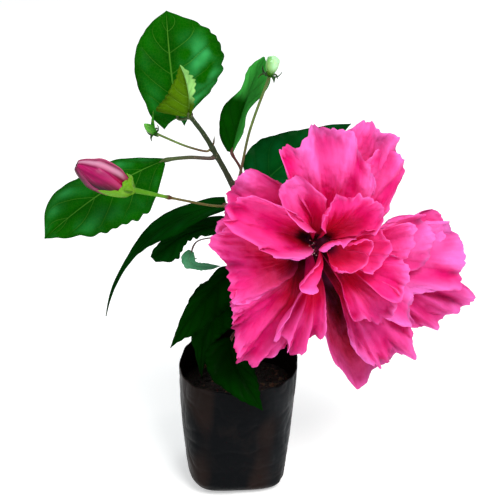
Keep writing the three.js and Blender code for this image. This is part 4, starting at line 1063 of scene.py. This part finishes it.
def petal_ripple(p, ground, across, share, turn, seed):
    """How far the petal's folds, creases, ruffles and curled margin stand from its even surface."""
    side = across * 2 - 1
    out = np.abs(side)
    ripple = p.folds * smoothstep(0.25, 1, share) * (np.sin(turn) + 0.45 * np.sin(1.7 * turn + seed))
    ripple = ripple + petal_creases(ground[0, -1, 0], across, share, seed)
    crumple = noise_sum(ground, (1.4, 15, 8.8), (0.75, 6, 5.1), (0.4, 2.8, 7.9))
    ripple = ripple + crumple * smoothstep(0.1, 0.5, share)
    ruffle = 4.2 * noise_at(ground * (1, 0.3, 1), 9, 2.2) + 2.6 * noise_at(ground * (1, 0.4, 1), 3.8, 6.6)
    ruffle = ruffle + 1.1 * noise_at(ground * (1, 0.6, 1), 1.9, 3.4)
    sides = smoothstep(0.86, 1, out) * smoothstep(0.4, 0.8, share)
    ripple = ripple + p.frill * np.maximum(smoothstep(0.68, 1, share) ** 1.5, 0.6 * sides) * ruffle
    curl = (np.maximum(0, share - 0.88) / 0.12) ** 2 * (0.6 + 2.2 * noise_at(ground[-1:], 14, 5.5))
    side_curl = np.maximum(0, out - 0.9) / 0.1 * smoothstep(0.35, 0.8, share)
    fringe = p.fringe * smoothstep(0.62, 1, side) * smoothstep(0.2, 0.6, share)
    return ripple + 2.4 * curl - 0.8 * side_curl ** 2 + 3.2 * fringe ** 2, fringe


def petal_grid(p, seed):
    """A fan from its foot on the column that rises, turns out and ruffles towards its margin."""
    longest = max(p.reach)
    arc = np.radians(p.fan[1] - p.fan[0]) * longest
    detail = 1.0
    columns = int(np.clip(arc / PETAL_STEP, 26, 100) * detail)
    rows = int(np.clip(longest / PETAL_STEP / 1.7, 20, 50) * detail)
    across = np.linspace(0, 1, columns + 1)[None]
    share = np.linspace(0, 1, rows + 1)[:, None] ** 0.85
    ground = stacked(across * arc, share * longest, seed * 7.3)
    angle, reach = petal_margin(p, across, ground[-1:], longest)
    distance = PETAL_ROOT + (reach - PETAL_ROOT) * share
    low = p.foot[2]
    middle = reach.mean()
    points = [np.array(x, float) for x in ((0, low), (PETAL_MIDDLE * middle, p.mid), (middle, p.rise))]
    climb = bezier_slope(*points, share)
    turn = 2 * math.pi * p.waves * across + seed * 2.4
    ripple, fringe = petal_ripple(p, ground, across, share, turn, seed)
    lift = ripple + p.lip * smoothstep(0.72, 1, share) * (0.4 + np.sin(turn * 1.3 + 1) ** 2)
    apart = 1 - smoothstep(0.0, 0.45, share)
    x = p.foot[0] + (low / 4 - p.foot[0]) * apart + np.cos(angle) * distance
    y = p.foot[1] * (1 - apart) + np.sin(angle) * distance
    grid = THROAT + RIGHT * x[..., None] + UP * y[..., None] + AXIS * bezier(*points, share)[..., 1:]
    outward = RIGHT * np.cos(angle)[..., None] + UP * np.sin(angle)[..., None]
    normal = AXIS * climb[..., :1] - outward * climb[..., 1:]
    return grid + normal * lift[..., None], share, np.abs(across * 2 - 1), ripple, ground, fringe


def add_petal(form, p, seed):
    grid, share, side, ripple, ground, fringe = petal_grid(p, seed)
    out = ground[..., 1]
    heart = p.heart
    tint = mixed(PETAL_DEEP, PETAL_RED, smoothstep(0.3 * heart, heart, out))
    tint = mixed(tint, PETAL_PINK, smoothstep(0.8 * heart, heart + 20, out))
    # The pale value pales the outer part, partly the petal's own paler margin and partly a painted
    # highlight. Painted highlights pale the margin, the side edges and the crests of the ripples, the edges
    # and fringe are lifted out of the painted shade, and the ripples' valleys are painted darker as shade.
    outer = smoothstep(0.35, 0.98, share) * (0.8 + 1.2 * noise_at(ground, 20, 3.3)) * p.pale
    edge = np.maximum(smoothstep(0.88, 1, share), smoothstep(0.93, 1, side) * smoothstep(0.3, 0.7, share))
    edge = edge * (0.7 + 0.9 * noise_at(ground, 5, 1.1)) * smoothstep(0.7 * heart, 1.2 * heart + 3, out)
    crest = np.clip(ripple / 4, -0.6, 0.6) * smoothstep(0.2, 0.6, share)
    outside = smoothstep(0.5 * heart, 1.1 * heart, out)
    pale = np.clip(outside * (0.7 * outer + 0.3 * crest) + 0.5 * edge + 0.8 * fringe, 0, 1)
    tint = mixed(tint, PETAL_PALE, pale)
    tint = tint * (p.shade + (1 - p.shade) * 0.5 * np.clip(edge + fringe, 0, 1))[..., None]
    tint = tint * (1 + 0.24 * np.clip(ripple / 4, -1, 0.6))[..., None]
    back = mixed(tint, PETAL_PINK, 0.3)
    depth = PETAL_THICKNESS / 2 * (1 - 0.4 * smoothstep(0.9, 1, share))
    form.sheet(grid, depth, depth, ground[..., :2] / 60 + (seed * 0.37, 0), tint, back)


def make_bloom(material):
    seed = 0
    for ring, petals in PETALS.items():
        form = Form()
        for petal in petals:
            add_petal(form, petal, seed)
            seed += 1
        if ring == "inner":
            add_throat(form)
        form.piece(f"petals_{ring}", material, "petal", "bloom")


def add_throat(form):
    """The dark column that the petals stand on, with a few short threads and pale anthers."""
    levels = np.linspace(COLUMN[0][0], COLUMN[-1][0], 24)
    path = np.array([bloom_place(level / 4, 0, level) for level in levels])
    form.tube(path, np.interp(levels, *zip(*COLUMN)), 20, PETAL_DEEP * 0.5)
    draw = np.random.default_rng(5)
    for _ in range(9):
        turn, lean = draw.uniform(1.8, 4.4), draw.uniform(1, 4)
        foot = bloom_place(math.cos(turn) * 3 - 1, math.sin(turn) * 3, 2)
        sway = RIGHT * (math.cos(turn) * lean - 2) + UP * math.sin(turn) * lean
        tip = foot + sway + AXIS * draw.uniform(2, 5)
        path = bezier(foot, (foot + tip) / 2 + AXIS, tip, np.linspace(0, 1, 9))
        form.tube(path, 0.16, 6, srgb(150, 20, 60))
        knob = np.linspace(-1, 1, 7)
        radii = 0.42 * np.sqrt(np.clip(1 - knob ** 2, 0.04, 1))
        form.tube(tip + AXIS * 0.4 * knob[:, None], radii, 8, srgb(225, 190, 190))


# The calyces and buds

def make_bloom_calyx(material):
    form = Form()
    green = srgb(72, 122, 26)
    levels = np.linspace(CALYX[0][0], CALYX[-1][0], 30)
    radii = np.interp(levels, *zip(*CALYX[::-1]))
    path = np.array([bloom_place(level / 4, 0, level) for level in levels])
    form.tube(path, radii[:, None] * (1 + 0.05 * np.cos(5 * circle(40))), 40, green)
    behind = CALYX[-1][0]
    end = bloom_place(behind / 4, 0, behind + 2)
    path = stalk_line(BLOOM_STALK["height"], [*BLOOM_STALK["via"], end], 60)
    form.tube(path, np.linspace(1.5, 1.9, len(path)), 14, green)
    for outward in spokes(5, AXIS, math.pi / 5):
        base = bloom_place(-6.5, 0, -28) + outward * 5.5
        form.strip(base, base + outward * 7 + AXIS * 5, base + outward * 11.5 + AXIS * 9, AXIS, 4.6, green,
                   thickness=0.6, fine=True, cup=-0.3)
    for outward in spokes(8, AXIS):
        base = bloom_place(-8.5, 0, -34) + outward * 3
        form.strip(base, base + outward * 4.5 + AXIS, base + outward * 8 - AXIS, AXIS, 1.0, srgb(50, 92, 20),
                   thickness=0.45)
    form.piece("bloom_calyx_skin", material, "calyx", "bloom_calyx")


BUD_LENGTH = np.linalg.norm(BUD_TIP - BUD_FOOT)
BUD_AXIS = unit(BUD_TIP - BUD_FOOT)


def bud_tint(number, wrap, level, turn):
    """Crimson, painted darker below as shade where the petal turns from the light, with painted highlights
    where it faces the light and the front, a random grain and paler edges.
    """
    first, second = square_to(BUD_AXIS)
    facing, gleam = (np.cos(turn) * (first @ way) + np.sin(turn) * (second @ way)
                     for way in (BUD_LIGHT, BUD_GLEAM))
    grain = noise_at(stacked(turn * 4, level * 2.5, number * 3.1), 1.0, 6.4)
    # Painted light: a pale highlight where the bud faces the light, painted shade where it turns away, and a
    # narrow painted gleam that faces the front.
    top = smoothstep(0.86, 0.98, facing) * smoothstep(0.15, 0.35, level)
    tint = mixed(srgb(136, 0, 44), srgb(160, 4, 84), smoothstep(0.2, 0.6, level))
    tint = mixed(tint, srgb(56, 0, 24), smoothstep(0.75, -0.1, facing) * 0.92)
    tint = tint * (1 + 0.9 * grain)[..., None]
    tint = mixed(tint, srgb(255, 200, 230), 0.95 * top)
    tint = mixed(tint, srgb(240, 120, 176), 0.7 * smoothstep(0.975, 1, gleam + 0.03 * grain) * (1.1 - level))
    return mixed(tint, srgb(222, 84, 146), 0.45 * smoothstep(0.8, 1, wrap) * (1 - 0.4 * level))


def make_bud_petals(material):
    """The closed bud: five petals rolled round each other."""
    first, second = square_to(BUD_AXIS)
    level = np.linspace(0.03, 1, 60)[:, None]
    wrap = np.linspace(0, 1, 41)[None]
    form = Form()
    for number in range(5):
        turn = number / 5 * 2 * math.pi + wrap * 2.6 + 0.9 * level
        radius = profile_radii(BUD_PROFILE, level) * (0.86 + 0.13 * wrap)
        radius = radius + 0.25 * np.sin(9 * wrap + number) * level
        end = 1 + 0.03 * np.sin(2.2 * math.pi * wrap + number)
        height = np.minimum(level * BUD_LENGTH * end, BUD_LENGTH)
        grid = (BUD_FOOT + BUD_AXIS * height[..., None] + first * (radius * np.cos(turn))[..., None]
                + second * (radius * np.sin(turn))[..., None])
        tint = bud_tint(number, wrap, level, turn)
        form.sheet(grid, 0.28, 0.28, stacked(wrap + 0.21 * number, level), tint, tint)
    form.piece("bud_rolled_petals", material, "bud", "bud_petals")


def bud_stalk(form):
    """The closed bud's long stalk, with a brown joint and a greener, thicker part beyond it."""
    path = stalk_line(BUD_STALK["height"], [*BUD_STALK["via"], BUD_FOOT + BUD_AXIS], 90)
    along = np.linspace(0, 1, len(path))
    joint = bell((along - 0.66) / 0.02)
    radius = 0.75 + 0.45 * joint + 0.25 * smoothstep(0.6, 0.68, along) + 0.7 * smoothstep(0.66, 1, along)
    tint = mixed(srgb(104, 98, 56), srgb(84, 148, 26), smoothstep(0.64, 0.72, along))
    form.tube(path, radius, 12, mixed(tint, srgb(84, 44, 34), joint)[:, None])


def make_bud_calyx(material):
    """A cup that is lower on its upper side, five sepals, longest below, and narrow bracts."""
    form = Form()
    light = srgb(102, 160, 26)
    level = np.linspace(BUD_CUP[0][0], BUD_CUP[-1][0], 20)[:, None]
    path = BUD_FOOT + BUD_AXIS * (level * BUD_LENGTH)
    cup = tube_rings(path, np.interp(level, *zip(*BUD_CUP)) * (1 + 0.04 * np.cos(5 * circle(40))), 40)
    slant = 0.55 * np.maximum((cup - path[:, None])[..., 2], 0) * smoothstep(0, 0.2, level)
    form.rings(cup - BUD_AXIS * slant[..., None], light)
    for outward in spokes(5, BUD_AXIS, 0.5):
        foot = BUD_FOOT + BUD_AXIS * BUD_LENGTH * 0.12
        long = max(0.1, 0.3 - 0.36 * outward[2])
        middle = foot + BUD_AXIS * BUD_LENGTH * 0.45 * long + outward * (7 + 3.2 * long)
        tip = foot + BUD_AXIS * BUD_LENGTH * 0.82 * long + outward * (7 + 4.4 * long)
        form.strip(foot + outward * 6.6, middle, tip, outward, min(4.1, 2 + 5 * long), light,
                   thickness=0.6, fine=True, cup=0.32)
    for outward in spokes(7, BUD_AXIS):
        base = BUD_FOOT - BUD_AXIS * 0.5 + outward * 3.0
        form.strip(base, base + outward * 2.6 + BUD_AXIS * 2.2, base + outward * 4.2 + BUD_AXIS * 6, outward,
                   0.8, srgb(70, 118, 24), thickness=0.4)
    bud_stalk(form)
    form.piece("bud_calyx_skin", material, "calyx", "bud_calyx")


def add_green_scales(form, bud, axis, radius, levels):
    """The green bud's closed sepals and the narrow bracts below it."""
    foot, tip = np.array(bud["foot"], float), np.array(bud["tip"], float)
    rise = axis * np.linalg.norm(tip - foot)
    top = radius[-1]
    for outward in spokes(5, axis, 0.3):
        base = foot + rise * 0.8 + outward * np.interp(0.8, levels, radius)
        form.strip(base, foot + rise * 0.97 + outward * top * 1.05, tip + axis * 0.4 + outward * 0.2,
                   outward, top * 0.8, bud["tones"][1], thickness=0.5, cup=0.3)
    for number, outward in enumerate(spokes(bud["bracts"], axis)):
        base = foot + axis * 1.2 + outward * 0.9
        away = outward * bud["reach"]
        lift = rise * (0.3 if number % 2 else -0.2)
        form.strip(base, base + away * 0.5 + rise * 0.05, base + away * 0.8 + lift, axis, 1.4,
                   srgb(28, 66, 14), thickness=0.45)


def make_green_bud(bud, material):
    """A small closed bud in its calyx, with narrow bracts below it."""
    foot, tip = np.array(bud["foot"], float), np.array(bud["tip"], float)
    axis = unit(tip - foot)
    first, second = square_to(axis)
    form = Form()
    levels = np.linspace(0, 1, 36)
    level = levels[:, None]
    radius = profile_radii(bud["profile"], levels)
    angle = circle(50)
    ribs = 1 + 0.07 * np.cos(5 * angle + 1.2 * level) * smoothstep(0.1, 0.6, level)
    # Painted light: the side that faces +X takes more of the pale tone.
    lit = smoothstep(-0.7, 0.3, np.cos(angle) * first[0] + np.sin(angle) * second[0])
    tint = mixed(*bud["tones"], smoothstep(0.1, 0.7, level) * (0.25 + 0.75 * lit))
    form.tube(foot + (tip - foot) * level, radius[:, None] * ribs, 50, tint)
    add_green_scales(form, bud, axis, radius, levels)
    for *places, half in bud["strips"]:
        form.strip(*places, (0, -1, 0.2), half, bud["tones"][0], thickness=0.5, widen=0.2)
    path = stalk_line(bud["height"], [*bud["via"], foot + axis], 60)
    along = np.linspace(0, 1, len(path))
    tint = mixed(srgb(100, 80, 62), srgb(98, 122, 62), smoothstep(0.15, 0.6, along))[:, None]
    form.tube(path, bud["radius"] * (0.9 + 0.25 * smoothstep(0.85, 1, along)), 10, tint)
    form.piece(bud["name"] + "_skin", material, "calyx", bud["name"])


# The camera, the light and the floor

def add_object(name, data):
    made = bpy.data.objects.new(name, data)
    bpy.context.scene.collection.objects.link(made)
    return made


def make_camera():
    data = bpy.data.cameras.new("camera")
    data.sensor_width = 36
    data.lens = PHOTO_FOCAL_PIXELS / PHOTO_PIXELS * data.sensor_width
    data.clip_start = 0.01
    camera = add_object("camera", data)
    camera.location = (Vector(CAMERA_TARGET) + Vector(heading(0, CAMERA_RISE)) * CAMERA_DISTANCE) * MM
    camera.rotation_euler = (math.radians(90 - CAMERA_RISE), 0, 0)
    bpy.context.scene.camera = camera


def make_light(name, azimuth, rise, distance, size, power, colour):
    """A square soft light that looks at the plant's middle."""
    data = bpy.data.lights.new(name, "AREA")
    data.size = size
    data.energy = power
    data.color = colour
    light = add_object(name, data)
    away = Vector(heading(azimuth, rise))
    light.location = Vector(LIGHT_TARGET) * MM + away * distance
    light.rotation_euler = away.to_track_quat("Z", "Y").to_euler()


def make_stage():
    mesh = bpy.data.meshes.new("floor")
    reach = FLOOR_REACH * MM
    corners = [(-reach, -reach, 0), (reach, -reach, 0), (reach, reach, 0), (-reach, reach, 0)]
    mesh.from_pydata(corners, [], [(0, 1, 2, 3)])
    mesh.materials.append(floor_material())
    floor = add_object("floor", mesh)
    world = bpy.data.worlds.new("world")
    world.use_nodes = True
    background = world.node_tree.nodes["Background"]
    background.inputs["Color"].default_value = (0.95, 0.98, 1.0, 1)
    background.inputs["Strength"].default_value = 0.45
    bpy.context.scene.world = world
    make_light("key", 32, 52, 1.6, 0.7, 19, (1.0, 0.99, 0.97))
    make_light("fill", -55, 35, 1.8, 1.2, 4, (0.95, 0.98, 1.0))
    make_light("back", 165, 45, 1.7, 0.9, 5, (0.95, 1.0, 1.0))
    bpy.context.scene.view_settings.view_transform = "Standard"


make_camera()
make_stage()
make_bag(film_material())
make_soil(soil_material())
make_stem(stalk_material("bark", 0.72))
leaf_materials = {look: leaf_material(look) for look in LOOKS}
petioles = Form()
for leaf in LEAVES:
    make_leaf(leaf, leaf_materials[leaf.look])
    add_petiole(petioles, leaf)
petioles.piece("petioles", stalk_material("petiole", 0.5), "bark")
make_bloom(petal_material())
calyx_green = green_material()
make_bloom_calyx(calyx_green)
make_bud_petals(bud_material())
make_bud_calyx(calyx_green)
for bud in GREEN_BUDS:
    make_green_bud(bud, calyx_green)
